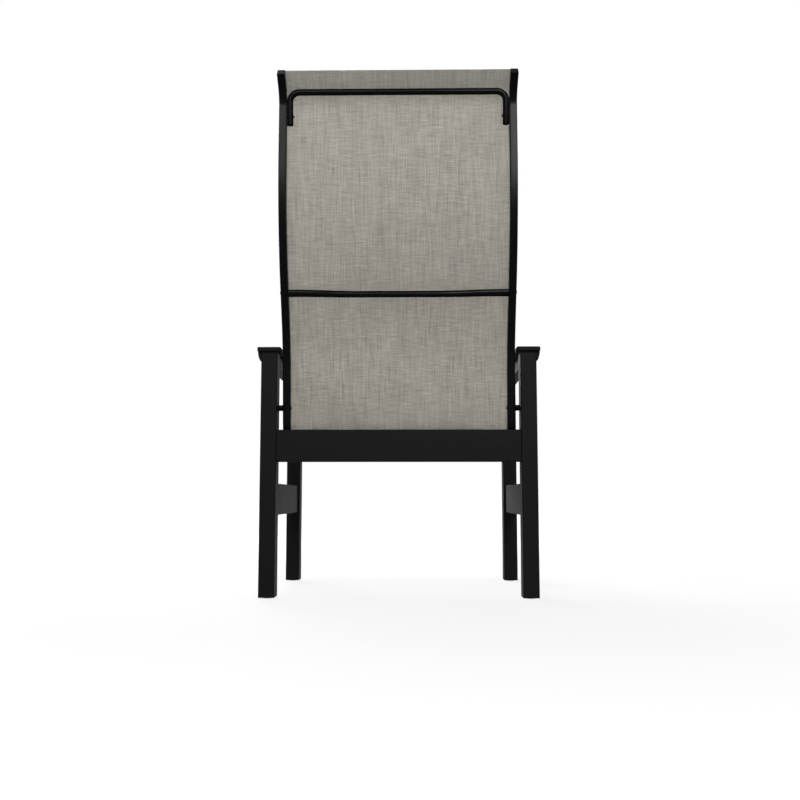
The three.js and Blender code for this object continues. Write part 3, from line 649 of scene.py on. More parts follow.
def powder_coated_aluminium(tree, chair):
    """Extruded aluminium under baked polyester powder: satin black with a faint orange peel."""
    coat = chair.finishes.powder_coat
    # Orange peel of a satin coat has waves of 1 to 2 mm
    peel_wave = mm(1.8)
    # The powder's thickness drifts slowly along a rail
    drift = mm(60)
    place = add(tree, "ShaderNodeTexCoord")
    peel = add(tree, "ShaderNodeTexNoise", {
        "Vector": place.outputs["Object"], "Scale": 1 / peel_wave, "Detail": 2.0,
    })
    cloud = add(tree, "ShaderNodeTexNoise", {
        "Vector": place.outputs["Object"], "Scale": 1 / drift, "Detail": 2.0,
    })
    colour = add(tree, "ShaderNodeMix", {
        0: cloud.outputs[0], 6: shaded(coat, share=0.8), 7: shaded(coat, share=1.25),
    }, data_type="RGBA")
    rough = add(tree, "ShaderNodeMapRange", {
        "Value": cloud.outputs[0], "From Min": 0.3, "From Max": 0.7, "To Min": 0.24, "To Max": 0.3,
    })
    relief = add(tree, "ShaderNodeBump", {
        "Height": peel.outputs[0], "Strength": 0.2, "Distance": mm(0.05),
    })
    return add(tree, "ShaderNodeBsdfPrincipled", {
        "Base Color": colour.outputs[2],
        "Roughness": rough.outputs[0],
        "IOR": 1.5,
        "Specular IOR Level": 0.031,
        "Normal": relief.outputs[0],
    })


def woven_vinyl_mesh(tree, chair):
    """Vinyl-coated polyester yarns in a plain weave, spun in mixed greys: looks like coarse linen."""
    sling, finishes = chair.sling, chair.finishes
    # The shades of single yarns are drawn wider than the yarns, at shown_yarn, so that they show.
    # Groups of dark slubs are several drawn yarns wide, and make a small share of the shades
    cluster_width, cluster_length, cluster_share = mm(12), mm(110), 0.1
    # The weft makes nearly half of the yarns' shades, and the warp the rest
    weft_share = 0.48
    # Steps through the noise that leave neighbouring yarns, and warp and weft, unlike each other
    yarns_apart, weft_shift = 3.7, 51.3
    # How far the painted shade in the hollows between the yarns reaches up the yarns, and how bright the
    # cloth stays in it
    weave_shade_reach, weave_shade_brightness = 0.25, 0.72
    # Height of the yarns' crossings in the relief, beside the unevenness of the yarns
    crossing_height = 0.6
    place = add(tree, "ShaderNodeUVMap", uv_map="cloth")
    parts = add(tree, "ShaderNodeSeparateXYZ", {0: place.outputs[0]})
    across, along = parts.outputs[0], parts.outputs[1]

    def counted(value, step):
        """A place on the cloth, counted in steps of a size."""
        return add(tree, "ShaderNodeMath", {0: value, 1: 1 / step}, operation="MULTIPLY").outputs[0]

    def yarn_shades(number_along, run_along, slub, shift):
        """Random shades of side-by-side yarns that change slowly along each yarn."""
        number = add(tree, "ShaderNodeMath", {
            0: counted(number_along, sling.shown_yarn),
        }, operation="FLOOR")
        apart = add(tree, "ShaderNodeMath", {
            0: number.outputs[0], 1: yarns_apart, 2: shift,
        }, operation="MULTIPLY_ADD")
        at = add(tree, "ShaderNodeCombineXYZ", {0: apart.outputs[0], 1: counted(run_along, slub)})
        return add(tree, "ShaderNodeTexNoise", {
            "Vector": at.outputs[0], "Scale": 1.0, "Detail": 1.5, "Roughness": 0.6,
        }, noise_dimensions="2D").outputs[0]

    warp = yarn_shades(across, along, sling.warp_slub, 0.0)
    weft = yarn_shades(along, across, sling.weft_slub, weft_shift)
    both = add(tree, "ShaderNodeMix", {0: weft_share, 2: warp, 3: weft}, data_type="FLOAT")
    cluster_at = add(tree, "ShaderNodeCombineXYZ", {
        0: counted(across, cluster_width), 1: counted(along, cluster_length),
    })
    clusters = add(tree, "ShaderNodeTexNoise", {
        "Vector": cluster_at.outputs[0], "Scale": 1.0, "Detail": 2.0,
    }, noise_dimensions="2D")
    mixed = add(tree, "ShaderNodeMix", {
        0: cluster_share, 2: both.outputs[0], 3: clusters.outputs[0],
    }, data_type="FLOAT")
    shade = add(tree, "ShaderNodeMapRange", {
        "Value": mixed.outputs[0], "From Min": 0.285, "From Max": 0.715,
    })
    colour = add(tree, "ShaderNodeMix", {
        0: shade.outputs[0], 6: shaded(finishes.yarn_dark), 7: shaded(finishes.yarn_light),
    }, data_type="RGBA")

    def yarn_crown(value):
        """One on the middle of each yarn, and zero between two yarns."""
        turn = add(tree, "ShaderNodeMath", {
            0: counted(value, sling.yarn), 1: math.pi,
        }, operation="MULTIPLY")
        wave = add(tree, "ShaderNodeMath", {0: turn.outputs[0]}, operation="SINE")
        return add(tree, "ShaderNodeMath", {0: wave.outputs[0]}, operation="ABSOLUTE").outputs[0]

    crossing = add(tree, "ShaderNodeMath", {
        0: yarn_crown(across), 1: yarn_crown(along),
    }, operation="MULTIPLY")
    # The colour is darkened in the hollows between the yarns, a painted shade of the weave
    painted_weave_shade = add(tree, "ShaderNodeMapRange", {
        "Value": crossing.outputs[0], "From Max": weave_shade_reach, "To Min": weave_shade_brightness,
    })
    weave_shaded_colour = add(tree, "ShaderNodeVectorMath", {
        0: colour.outputs[2], "Scale": painted_weave_shade.outputs[0],
    }, operation="SCALE")
    height = add(tree, "ShaderNodeMath", {
        0: crossing.outputs[0], 1: crossing_height, 2: both.outputs[0],
    }, operation="MULTIPLY_ADD")
    relief = add(tree, "ShaderNodeBump", {
        "Height": height.outputs[0], "Strength": 0.35, "Distance": mm(0.3),
    })
    shader = add(tree, "ShaderNodeBsdfPrincipled", {
        "Base Color": weave_shaded_colour.outputs[0],
        "Roughness": 0.62,
        "IOR": 1.5,
        "Specular IOR Level": 0.1,
        "Normal": relief.outputs[0],
    })
    # Light passes both faces of the cloth, so each face tints it only a little
    tint = add(tree, "ShaderNodeGamma", {"Color": weave_shaded_colour.outputs[0], "Gamma": 0.25})
    through = add(tree, "ShaderNodeBsdfTranslucent", {"Color": tint.outputs[0]})
    return add(tree, "ShaderNodeMixShader", {
        0: sling.through, 1: shader.outputs[0], 2: through.outputs[0],
    })


def moulded_nylon(tree, chair):
    """Injection moulded nylon: dull black with the fine spark texture of its mould."""
    nylon = chair.finishes.nylon
    # Spark texture is about 0.1 mm. It is drawn at 0.8 mm so that it shows at all
    spark_size = mm(0.8)
    place = add(tree, "ShaderNodeTexCoord")
    spark = add(tree, "ShaderNodeTexNoise", {
        "Vector": place.outputs["Object"], "Scale": 1 / spark_size, "Detail": 2.0,
    })
    colour = add(tree, "ShaderNodeMix", {
        0: spark.outputs[0], 6: shaded(nylon, share=0.8), 7: shaded(nylon, share=1.3),
    }, data_type="RGBA")
    relief = add(tree, "ShaderNodeBump", {
        "Height": spark.outputs[0], "Strength": 0.3, "Distance": mm(0.05),
    })
    return add(tree, "ShaderNodeBsdfPrincipled", {
        "Base Color": colour.outputs[2],
        "Roughness": 0.5,
        "IOR": 1.53,
        "Specular IOR Level": 0.014,
        "Normal": relief.outputs[0],
    })


def black_coated_steel(tree, chair):
    """Stainless steel, cold headed and black coated: a dark metal with a soft shine."""
    # The coating's grain is under 0.1 mm. It is drawn at 0.7 mm so that it shows
    grain_size = mm(0.7)
    place = add(tree, "ShaderNodeTexCoord")
    grit = add(tree, "ShaderNodeTexNoise", {
        "Vector": place.outputs["Object"], "Scale": 1 / grain_size, "Detail": 2.0,
    })
    rough = add(tree, "ShaderNodeMapRange", {
        "Value": grit.outputs[0], "From Min": 0.3, "From Max": 0.7, "To Min": 0.3, "To Max": 0.42,
    })
    return add(tree, "ShaderNodeBsdfPrincipled", {
        "Base Color": shaded(chair.finishes.steel),
        "Metallic": 0.9,
        "Roughness": rough.outputs[0],
    })


def turned_brass(tree, chair):
    """Free-cutting brass, turned on a lathe: a warm metal with fine rings."""
    # A lathe leaves rings about 0.1 mm apart. They are drawn about 2 mm apart so that they show,
    # which is 0.31 of the size that the node takes
    ring_wave = mm(6)
    place = add(tree, "ShaderNodeTexCoord")
    rings = add(tree, "ShaderNodeTexWave", {
        "Vector": place.outputs["Object"], "Scale": 1 / ring_wave, "Distortion": 0.5,
    }, bands_direction="X")
    rough = add(tree, "ShaderNodeMapRange", {
        "Value": rings.outputs["Fac"], "To Min": 0.25, "To Max": 0.4,
    })
    return add(tree, "ShaderNodeBsdfPrincipled", {
        "Base Color": shaded(chair.finishes.brass),
        "Metallic": 1.0,
        "Roughness": rough.outputs[0],
    })


def seen_or_mirrored(tree):
    """One for rays from the camera and for mirrored and transmitted rays, and zero for the rest."""
    path = add(tree, "ShaderNodeLightPath")
    seen = add(tree, "ShaderNodeMath", {
        0: path.outputs["Is Camera Ray"], 1: path.outputs["Is Glossy Ray"],
    }, operation="MAXIMUM")
    either = add(tree, "ShaderNodeMath", {
        0: seen.outputs[0], 1: path.outputs["Is Transmission Ray"],
    }, operation="MAXIMUM")
    return either.outputs[0]


def painted_studio_floor(tree, chair):
    """Matte painted board: reads as white and keeps the chair's soft shadow, with a painted shade round
    the chair where its added white is lower.
    """
    stage = chair.stage
    matte = add(tree, "ShaderNodeBsdfDiffuse", {"Color": shaded(chair.finishes.floor)})
    place = add(tree, "ShaderNodeTexCoord")
    away = add(tree, "ShaderNodeVectorMath", {0: place.outputs["Object"]}, operation="LENGTH")
    # The floor's added white is lower near the chair, a painted shade round it
    white_with_painted_shade = add(tree, "ShaderNodeMapRange", {
        "Value": away.outputs["Value"], "From Min": stage.painted_shade_fade_from, "From Max": stage.painted_shade_fade_to,
        "To Min": stage.painted_shade_lift, "To Max": stage.floor_lift,
    }, interpolation_type="SMOOTHSTEP")
    lift = add(tree, "ShaderNodeMath", {
        0: seen_or_mirrored(tree), 1: white_with_painted_shade.outputs[0],
    }, operation="MULTIPLY")
    white = add(tree, "ShaderNodeEmission", {"Strength": lift.outputs[0]})
    return add(tree, "ShaderNodeAddShader", {0: matte.outputs[0], 1: white.outputs[0]})


# The finish of each slot and of the floor: its material's name, and the function that makes its nodes
FINISHES = {
    "frame_lumber": ("Extruded poly lumber", extruded_poly_lumber),
    "rail_metal": ("Powder coated aluminium", powder_coated_aluminium),
    "sling_cloth": ("Woven vinyl coated mesh", woven_vinyl_mesh),
    "black_plastic": ("Moulded nylon", moulded_nylon),
    "fastener_steel": ("Black coated steel", black_coated_steel),
    "insert_brass": ("Turned brass", turned_brass),
    "studio_floor": ("Painted studio floor", painted_studio_floor),
}


def finish_for(slot):
    """The material of a slot, made when it is first asked for."""
    name, make_nodes = FINISHES[slot]
    material = bpy.data.materials.get(name)
    if material is None:
        material = bpy.data.materials.new(name)
        material.use_nodes = True
        tree = material.node_tree
        tree.nodes.clear()
        shader = make_nodes(tree, bpy.context.scene.patio_chair)
        add(tree, "ShaderNodeOutputMaterial", {"Surface": shader.outputs[0]})
    return material


# Meshes


def place_piece(name, mesh, slot, nodes):
    """Gives a mesh its finish, hangs it on the chair's one body and lets it stand for CAD nodes."""
    mesh.materials.append(finish_for(slot))
    piece = bpy.data.objects.new(name, mesh)
    bpy.context.scene.collection.objects.link(piece)
    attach(piece, "root")
    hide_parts(*nodes)
    return piece


def flatten_faces(piece):
    """Keeps broad flat faces flat beside their rounded edges."""
    piece.modifiers.new("Flat faces", "WEIGHTED_NORMAL").keep_sharp = True


def work_on(points, faces):
    """A bmesh of these points and faces, with the faces turned outwards."""
    work = bmesh.new()
    corners = [work.verts.new(point) for point in points]
    for face in faces:
        work.faces.new([corners[i] for i in face])
    bmesh.ops.recalc_face_normals(work, faces=work.faces)
    return work


def smooth_mesh(name, work):
    """A smooth-shaded mesh of a finished bmesh."""
    mesh = bpy.data.meshes.new(name)
    work.to_mesh(mesh)
    work.free()
    mesh.shade_smooth()
    return mesh


def closed_mesh(name, points, faces, sharp_degrees=50):
    """A smooth-shaded mesh with its faces turned outwards and its real corners kept sharp."""
    mesh = smooth_mesh(name, work_on(points, faces))
    mesh.set_sharp_from_angle(angle=math.radians(sharp_degrees))
    return mesh


def skin(rings, looped=False):
    """Points and faces over a stack of rings with as many points each. The stack is closed at both
    ends, or looped back to its first ring."""
    count = len(rings[0])
    points = np.concatenate(rings)
    faces = []
    spans = len(rings) if looped else len(rings) - 1
    for i in range(spans):
        base, above = i * count, (i + 1) % len(rings) * count
        for j in range(count):
            k = (j + 1) % count
            faces.append((base + j, base + k, above + k, above + j))
    if not looped:
        faces.append(tuple(range(count))[::-1])
        faces.append(tuple(range(len(points) - count, len(points))))
    return points, faces


def place_skin(node, ending, slot, rings, looped=False, sharp_degrees=50):
    """Places a piece that stands for one CAD node and whose surface runs over a stack of rings."""
    mesh = closed_mesh(node, *skin(rings, looped), sharp_degrees)
    return place_piece(f"{node}_{ending}", mesh, slot, [node])


def quarter_turn(steps):
    """Angles from zero to a right angle, both included."""
    return np.radians(np.linspace(0, 90, steps + 1))


def arc(x, y, radius, start_degrees, end_degrees, steps):
    """Points of an arc about a centre, both ends included."""
    turns = np.radians(np.linspace(start_degrees, end_degrees, steps + 1))
    return np.column_stack((x + radius * np.cos(turns), y + radius * np.sin(turns)))


def ellipse(half_x, half_y, sides):
    """Outline of an ellipse, with a flat side on each axis."""
    turns = (np.arange(sides) + 0.5) / sides * math.tau
    return np.column_stack((half_x * np.cos(turns), half_y * np.sin(turns)))


def rounded_rectangle(low, high, radii, steps=6):
    """Outline from its lower right corner round. Radii are for the lower and the upper corners."""
    (x0, y0), (x1, y1) = low, high
    lower, upper = radii
    return np.concatenate((
        arc(x1 - lower, y0 + lower, lower, -90, 0, steps),
        arc(x1 - upper, y1 - upper, upper, 0, 90, steps),
        arc(x0 + upper, y1 - upper, upper, 90, 180, steps),
        arc(x0 + lower, y0 + lower, lower, 180, 270, steps),
    ))


def turned(profile, start, way, sides):
    """Rings about an axis. Each row of the profile is a place along it, a radius and how far the
    ring is a hexagon, from 0 to 1."""
    start, way = np.array(start, float), np.array(way, float)
    is_upright = abs(way[Z]) > PARALLEL_COSINE
    side = np.cross(way, (1.0, 0.0, 0.0) if is_upright else (0.0, 0.0, 1.0))
    side /= np.linalg.norm(side)
    other = np.cross(way, side)
    turns = np.arange(sides) / sides * math.tau
    sixth = math.tau / 6
    flats = 1 / np.cos((turns + sixth / 2) % sixth - sixth / 2)
    rings = []
    for along, radius, hexness in profile:
        reach = radius * (1 + hexness * (flats - 1))
        ring = np.outer(reach * np.cos(turns), side) + np.outer(reach * np.sin(turns), other)
        rings.append(start + way * along + ring)
    return rings


def centre_of(node):
    """The middle of a CAD node's box."""
    low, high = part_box(node)
    return (low + high) / 2


# Boards


def mark_grain(mesh, low, run, start):
    """Stores where each point lies in its board, with the last number along the board."""
    order = [axis for axis in range(3) if axis != run] + [run]
    places = np.empty(len(mesh.vertices) * 3)
    mesh.vertices.foreach_get("co", places)
    places = places.reshape(-1, 3) - np.array(low)
    grain = places[:, order] + start
    mesh.attributes.new("grain", "FLOAT_VECTOR", "POINT").data.foreach_set("vector", grain.ravel())


def place_lumber(node, ending, mesh, run, kind, number):
    """Places a piece of lumber with its grain along one axis."""
    start, step = GRAIN_STARTS[kind]
    mark_grain(mesh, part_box(node)[0], run, start + step * number)
    flatten_faces(place_piece(f"{node}_{ending}", mesh, "frame_lumber", [node]))


def round_edges(work, edges, radius, segments):
    """Rounds edges of a bmesh with so many faces across each."""
    bmesh.ops.bevel(work, geom=edges, offset=radius, segments=segments, profile=0.5, affect="EDGES")


def keen_edges(work, degrees):
    """Edges at which two faces meet at more than an angle."""
    return [edge for edge in work.edges if edge.calc_face_angle() > math.radians(degrees)]


def runs_along(edge, axis):
    """Whether an edge of a box is parallel to an axis."""
    return abs((edge.verts[1].co - edge.verts[0].co).normalized()[axis]) > PARALLEL_COSINE


def make_board(node, run, kind, number):
    """A plank with rounded edges that fills a CAD node's box. Its grain runs along one axis."""
    boards = bpy.context.scene.patio_chair.boards
    low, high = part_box(node)
    work = bmesh.new()
    bmesh.ops.create_cube(work, size=1)
    bmesh.ops.scale(work, vec=high - low, verts=work.verts)
    bmesh.ops.translate(work, vec=(low + high) / 2, verts=work.verts)
    round_edges(work, [edge for edge in work.edges if runs_along(edge, run)], boards.edge, segments=5)
    round_edges(work, keen_edges(work, degrees=60), boards.end_edge, segments=2)
    place_lumber(node, "board", smooth_mesh(node, work), run, kind, number)


def corbel_curve(reach, height, bulge, steps=12):
    """Points of a quadratic curve from the arm's underside in to the leg."""
    share = np.linspace(0, 1, steps + 1)[:, None]
    start, pull, end = np.array([reach, 0]), np.array([reach, -height]) * bulge, np.array([0, -height])
    return start * (1 - share) ** 2 + pull * 2 * share * (1 - share) + end * share**2


# Side profile of the rails, in a plane whose x runs to the rear and whose y runs up


def straight(name, run):
    """A move of a path that goes straight on."""
    return name, run, None, None


def bend(name, radius, turn):
    """A move of a path that turns, to the left where the turn is positive."""
    return name, None, radius, turn


def travel(x, y, heading, moves, chord_error=mm(0.03)):
    """Places along a path of straight runs and bends, and where each named move starts."""
    places, starts = [(x, y, heading)], {}
    for name, run, radius, turn in moves:
        starts[name] = places[-1]
        x, y, heading = places[-1]
        if run:
            places.append((x + run * math.cos(heading), y + run * math.sin(heading), heading))
            continue
        steps = math.ceil(abs(turn) / (2 * math.acos(1 - chord_error / radius)))
        side = math.copysign(1, turn)
        centre_x, centre_y = x - side * radius * math.sin(heading), y + side * radius * math.cos(heading)
        for i in range(1, steps + 1):
            now = heading + turn * i / steps
            places.append((
                centre_x + side * radius * math.sin(now), centre_y - side * radius * math.cos(now), now,
            ))
    return places, starts


def rail_profile():
    """Places of the rails' centreline, the start of each of its runs, and the length of the seat run."""
    rails, bars = bpy.context.scene.patio_chair.rails, bpy.context.scene.patio_chair.bars
    upright = math.pi / 2
    lip, seat, foot = upright - rails.waterfall_lean, upright - rails.seat_lean, upright - rails.foot_lean
    plank_low, plank_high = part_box("rear_cross_plank")
    anchor_y = plank_low.y - rails.behind_plank - rails.depth / 2
    anchor_z = plank_high.z + rails.foot_above_plank
    bend_reach = rails.seat_bend_radius * (math.sin(foot) - math.sin(seat))
    to_bolt = anchor_y - centre_of("front_bolt_left").y - bend_reach + bars.behind_centre * math.sin(seat)
    seat_run = to_bolt / math.cos(seat) + rails.seat_past_bolt
    places, starts = travel(0, 0, lip, [
        straight("lip", rails.lip_run),
        bend("waterfall", rails.waterfall_radius, rails.waterfall_lean - rails.seat_lean),
        straight("seat", seat_run),
        bend("seat_bend", rails.seat_bend_radius, rails.seat_lean - rails.foot_lean),
        straight("foot", rails.foot_run),
        bend("elbow", rails.elbow_radius, rails.foot_lean - rails.recline_lean),
        straight("recline", rails.recline_run),
        bend("shoulder", rails.shoulder_radius, rails.recline_lean - rails.upright_lean),
        straight("upright", rails.upright_run),
        bend("flare", rails.flare_radius, rails.upright_lean - rails.flare_lean),
        straight("crest", rails.crest_run),
    ])
    dx, dy = anchor_y - starts["foot"][0], anchor_z - starts["foot"][1]
    moved = [(x + dx, y + dy, heading) for x, y, heading in places]
    moved_starts = {name: (x + dx, y + dy, heading) for name, (x, y, heading) in starts.items()}
    return moved, moved_starts, seat_run


def on_profile(start, along, offset):
    """A place beside a straight run, so far along it and so far to the sitter's side."""
    x, y, heading = start
    return (
        x + along * math.cos(heading) - offset * math.sin(heading),
        y + along * math.sin(heading) + offset * math.cos(heading),
        heading,
    )


def carried(places, sections, origin=(0, 0, 0), along_x=(0, 1, 0), along_y=(0, 0, 1)):
    """Rings of a section carried along a plane path. A section's x runs across the plane and its y
    to the path's left."""
    along_x, along_y = np.array(along_x, float), np.array(along_y, float)
    across = np.cross(along_x, along_y)
    rings = []
    for (x, y, heading), section in zip(places, sections, strict=True):
        point = np.array(origin) + x * along_x + y * along_y
        left = math.cos(heading) * along_y - math.sin(heading) * along_x
        rings.append(point + np.outer(section[:, 0], across) + np.outer(section[:, 1], left))
    return rings


# Rails, sling and bars


def rail_span(side):
    """The middle of a rail across the chair, and half its width."""
    low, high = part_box(f"side_rail_{side}")
    return (low.x + high.x) / 2, (high.x - low.x) / 2


def groove_level(rails):
    """How far the grooves, and so the sling, lie to the sitter's side of the rails' centreline."""
    return rails.depth / 2 - rails.groove_under_face


def rail_section(rails, half_width, sign):
    """Outline with rounded corners and a keyhole groove in the inner face."""
    half_depth, corner, corner_steps, groove_steps = rails.depth / 2, rails.corner, 5, 16
    x, y = half_width - corner, half_depth - corner
    groove_x, groove_y = half_width - rails.groove_inset, groove_level(rails)
    half_mouth = rails.groove_mouth / 2
    mouth = math.degrees(math.asin(half_mouth / rails.groove_radius))
    outline = np.concatenate((
        arc(x, -y, corner, -90, 0, corner_steps),
        [(half_width, groove_y - half_mouth)],
        arc(groove_x, groove_y, rails.groove_radius, -mouth, mouth - 360, groove_steps),
        [(half_width, groove_y + half_mouth)],
        arc(x, y, corner, 0, 90, corner_steps),
        arc(-x, y, corner, 90, 180, corner_steps),
        arc(-x, -y, corner, 180, 270, corner_steps),
    ))
    return outline * (-sign, 1)


def fine_places(places, step):
    """Adds places on long straight runs so that no step is longer than given."""
    fine = [places[0]]
    for x, y, heading in places[1:]:
        x0, y0, heading0 = fine[-1]
        parts = math.ceil(math.dist((x0, y0), (x, y)) / step)
        for i in range(1, parts + 1):
            share = i / parts
            fine.append((
                x0 + (x - x0) * share, y0 + (y - y0) * share, heading0 + (heading - heading0) * share,
            ))
    return fine


def cloth_places(places, sling):
    """Places along the cloth. The first two and the last two lie past the ends of the grooved edges."""
    lip, crest = places[0], places[-1]
    held = [on_profile(lip, sling.edge_short, 0), *places[1:-1], on_profile(crest, -sling.edge_short, 0)]
    return [
        on_profile(lip, -sling.past_rail, 0), lip,
        *fine_places(held, sling.row),
        crest, on_profile(crest, sling.past_rail, 0),
    ]


def bridging(places, bend_middle, sling):
    """How far the taut cloth stands off the rails' line at mid-width, at each place along it."""
    steps = [math.dist(a[:2], b[:2]) for a, b in zip(places, places[1:])]
    run = np.concatenate(([0], np.cumsum(steps)))
    at_bend = min(range(len(places)), key=lambda i: math.dist(places[i][:2], bend_middle))
    return sling.seat_pull * np.exp(-(((run - run[at_bend]) / sling.seat_pull_run) ** 2))


def cloth_mesh(sheets):
    """Joins a cloth's two faces round their rim and stores each point's place on the flat cloth."""
    middle = (sheets[0] + sheets[1]) / 2
    centre = middle[:, middle.shape[1] // 2]
    along = np.concatenate(([0], np.cumsum(np.linalg.norm(np.diff(centre, axis=0), axis=1))))
    rows, columns = middle.shape[:2]
    count = rows * columns
    points = np.concatenate([sheet.reshape(-1, 3) for sheet in sheets])
    faces = []
    for i in range(rows - 1):
        for j in range(columns - 1):
            a = i * columns + j
            quad = (a, a + 1, a + columns + 1, a + columns)
            faces.append(quad[::-1])
            faces.append(tuple(k + count for k in quad))
    rim = list(range(columns))
    rim += [i * columns + columns - 1 for i in range(1, rows)]
    rim += [(rows - 1) * columns + j for j in range(columns - 2, -1, -1)]
    rim += [i * columns for i in range(rows - 2, 0, -1)]
    for a, b in zip(rim, rim[1:] + rim[:1]):
        faces.append((a, b, b + count, a + count))
    mesh = closed_mesh("sling", points, faces)
    flat = np.column_stack((middle[:, :, 0].ravel(), np.repeat(along, columns)))
    flat = np.concatenate((flat, flat))
    corners = np.empty(len(mesh.loops), int)
    mesh.loops.foreach_get("vertex_index", corners)
    mesh.uv_layers.new(name="cloth").uv.foreach_set("vector", flat[corners].ravel())
    return mesh, float(along[-1])


def bowed_path(bars, end):
    """Path of a bar from one rail to the other, with straight stubs and a middle that stands back."""
    turn = 2 * math.atan(bars.bow / bars.bow_run)
    radius = bars.bow_run / 2 / math.sin(turn)
    places, _ = travel(-end, 0, 0, [
        straight("stub", bars.stub),
        bend("away", radius, turn),
        bend("level", radius, -turn),
        straight("middle", 2 * (end - bars.stub - bars.bow_run)),
        bend("back", radius, -turn),
        bend("level_end", radius, turn),
        straight("stub_end", bars.stub),
    ])
    return places


def bowed_section(bars, inward):
    """Section of a bowed bar: flattened at its ends, and round where its bow is over."""
    half_height = bars.end_half_height + (bars.radius - bars.end_half_height) * inward
    half_depth = bars.end_half_depth + (bars.radius - bars.end_half_depth) * inward
    return ellipse(half_height, half_depth, bars.sides)


def head_bar_foot(chair, starts):
    """Where the head bar's ends are centred on the side profile, and the way that it rises."""
    bars = chair.bars
    sling_rear = groove_level(chair.rails) - PACKED_SLING_THICKNESS / 2
    offset = sling_rear - bars.head_to_sling - bars.head_radius
    y, z, _ = on_profile(starts["upright"], chair.rails.upright_run - bars.head_below_flare, offset)
    return y, z, (0, math.sin(bars.head_lean), math.cos(bars.head_lean))


# Fasteners


def button_head(radius, height, fasteners):
    """Profile from the floor of a hexagon socket, up and over a domed head to its seat."""
    # Shares of the socket's half width, and then of the head's height
    crown_share, floor_middle_share = 1.25, 0.2
    lip_share, rim_share = 0.94, 0.3
    socket = radius * fasteners.socket_share
    crown = socket * crown_share
    floor = -height * (1 - fasteners.socket_depth_share)
    rise, spread = height * (1 - rim_share), radius - crown
    dome = [
        (-height * rim_share - rise * math.cos(turn), crown + spread * math.sin(turn), 0)
        for turn in quarter_turn(steps=6)
    ]
    return [
        (floor, socket * floor_middle_share, 1), (floor, socket, 1), (-height * lip_share, socket, 1),
        *dome, (0, radius, 0),
    ]


def make_screw(node, way, shank, head_height, fasteners):
    """A screw in its CAD node's box. The way is the side that it points to, 1 or -1."""
    low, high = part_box(node)
    middle = centre_of(node)
    seat = (low.x if way > 0 else high.x) + way * head_height
    head = button_head((high.z - low.z) / 2, head_height, fasteners)
    profile = [*head, (0, shank, 0), (high.x - low.x - head_height, shank, 0)]
    rings = turned(profile, (seat, middle.y, middle.z), (way, 0, 0), SCREW_SIDES)
    place_skin(node, "head", "fastener_steel", rings, sharp_degrees=35)


def make_spacer(node, fasteners):
    """A chamfered sleeve in its CAD node's box."""
    low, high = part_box(node)
    middle, radius, length = centre_of(node), (high.z - low.z) / 2, high.x - low.x
    bore, edge = fasteners.spacer_bore, fasteners.spacer_edge
    profile = [
        (0, bore, 0), (0, radius - edge, 0), (edge, radius, 0),
        (length - edge, radius, 0), (length, radius - edge, 0), (length, bore, 0),
    ]
    rings = turned(profile, (low.x, middle.y, middle.z), (1, 0, 0), SPACER_SIDES)
    place_skin(node, "sleeve", "black_plastic", rings, looped=True, sharp_degrees=30)


# Stage


def add_looking(thing, direction):
    """Adds a camera or a lamp to the scene, turned to look along a direction."""
    thing.rotation_euler = direction.to_track_quat("-Z", "Y").to_euler()
    bpy.context.scene.collection.objects.link(thing)


def set_camera(stage):
    """Puts the camera low behind the chair, where the stage's settings say."""
    lens = bpy.data.cameras.new("photo_camera")
    lens.lens = stage.lens
    lens.sensor_width = SENSOR_WIDTH_MM
    camera = bpy.data.objects.new("photo_camera", lens)
    rear_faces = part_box("rear_leg_left")[1].y
    camera.location = (-stage.eye_right, rear_faces + stage.eye_behind, stage.eye_height)
    level = math.cos(stage.aim_up)
    add_looking(camera, Vector((
        math.sin(stage.aim_left) * level, -math.cos(stage.aim_left) * level, math.sin(stage.aim_up),
    )))
    bpy.context.scene.camera = camera


def lay_floor(stage):
    """Lays a plain square floor with its middle under the chair."""
    half = stage.floor_size / 2
    corners = [(-half, -half, 0), (half, -half, 0), (half, half, 0), (-half, half, 0)]
    mesh = bpy.data.meshes.new("studio_floor")
    mesh.from_pydata(corners, [], [(0, 1, 2, 3)])
    mesh.materials.append(finish_for("studio_floor"))
    floor = bpy.data.objects.new("studio_floor", mesh)
    bpy.context.scene.collection.objects.link(floor)


def hang_lamp(light, place, aim_height, gives_gloss, lights_matte):
    """Hangs a lamp at a place and turns it to a height over the chair's middle."""
    lamp = bpy.data.objects.new(light.name, light)
    lamp.location = place
    lamp.visible_glossy = gives_gloss
    lamp.visible_diffuse = lights_matte
    add_looking(lamp, Vector((0, 0, aim_height)) - Vector(place))


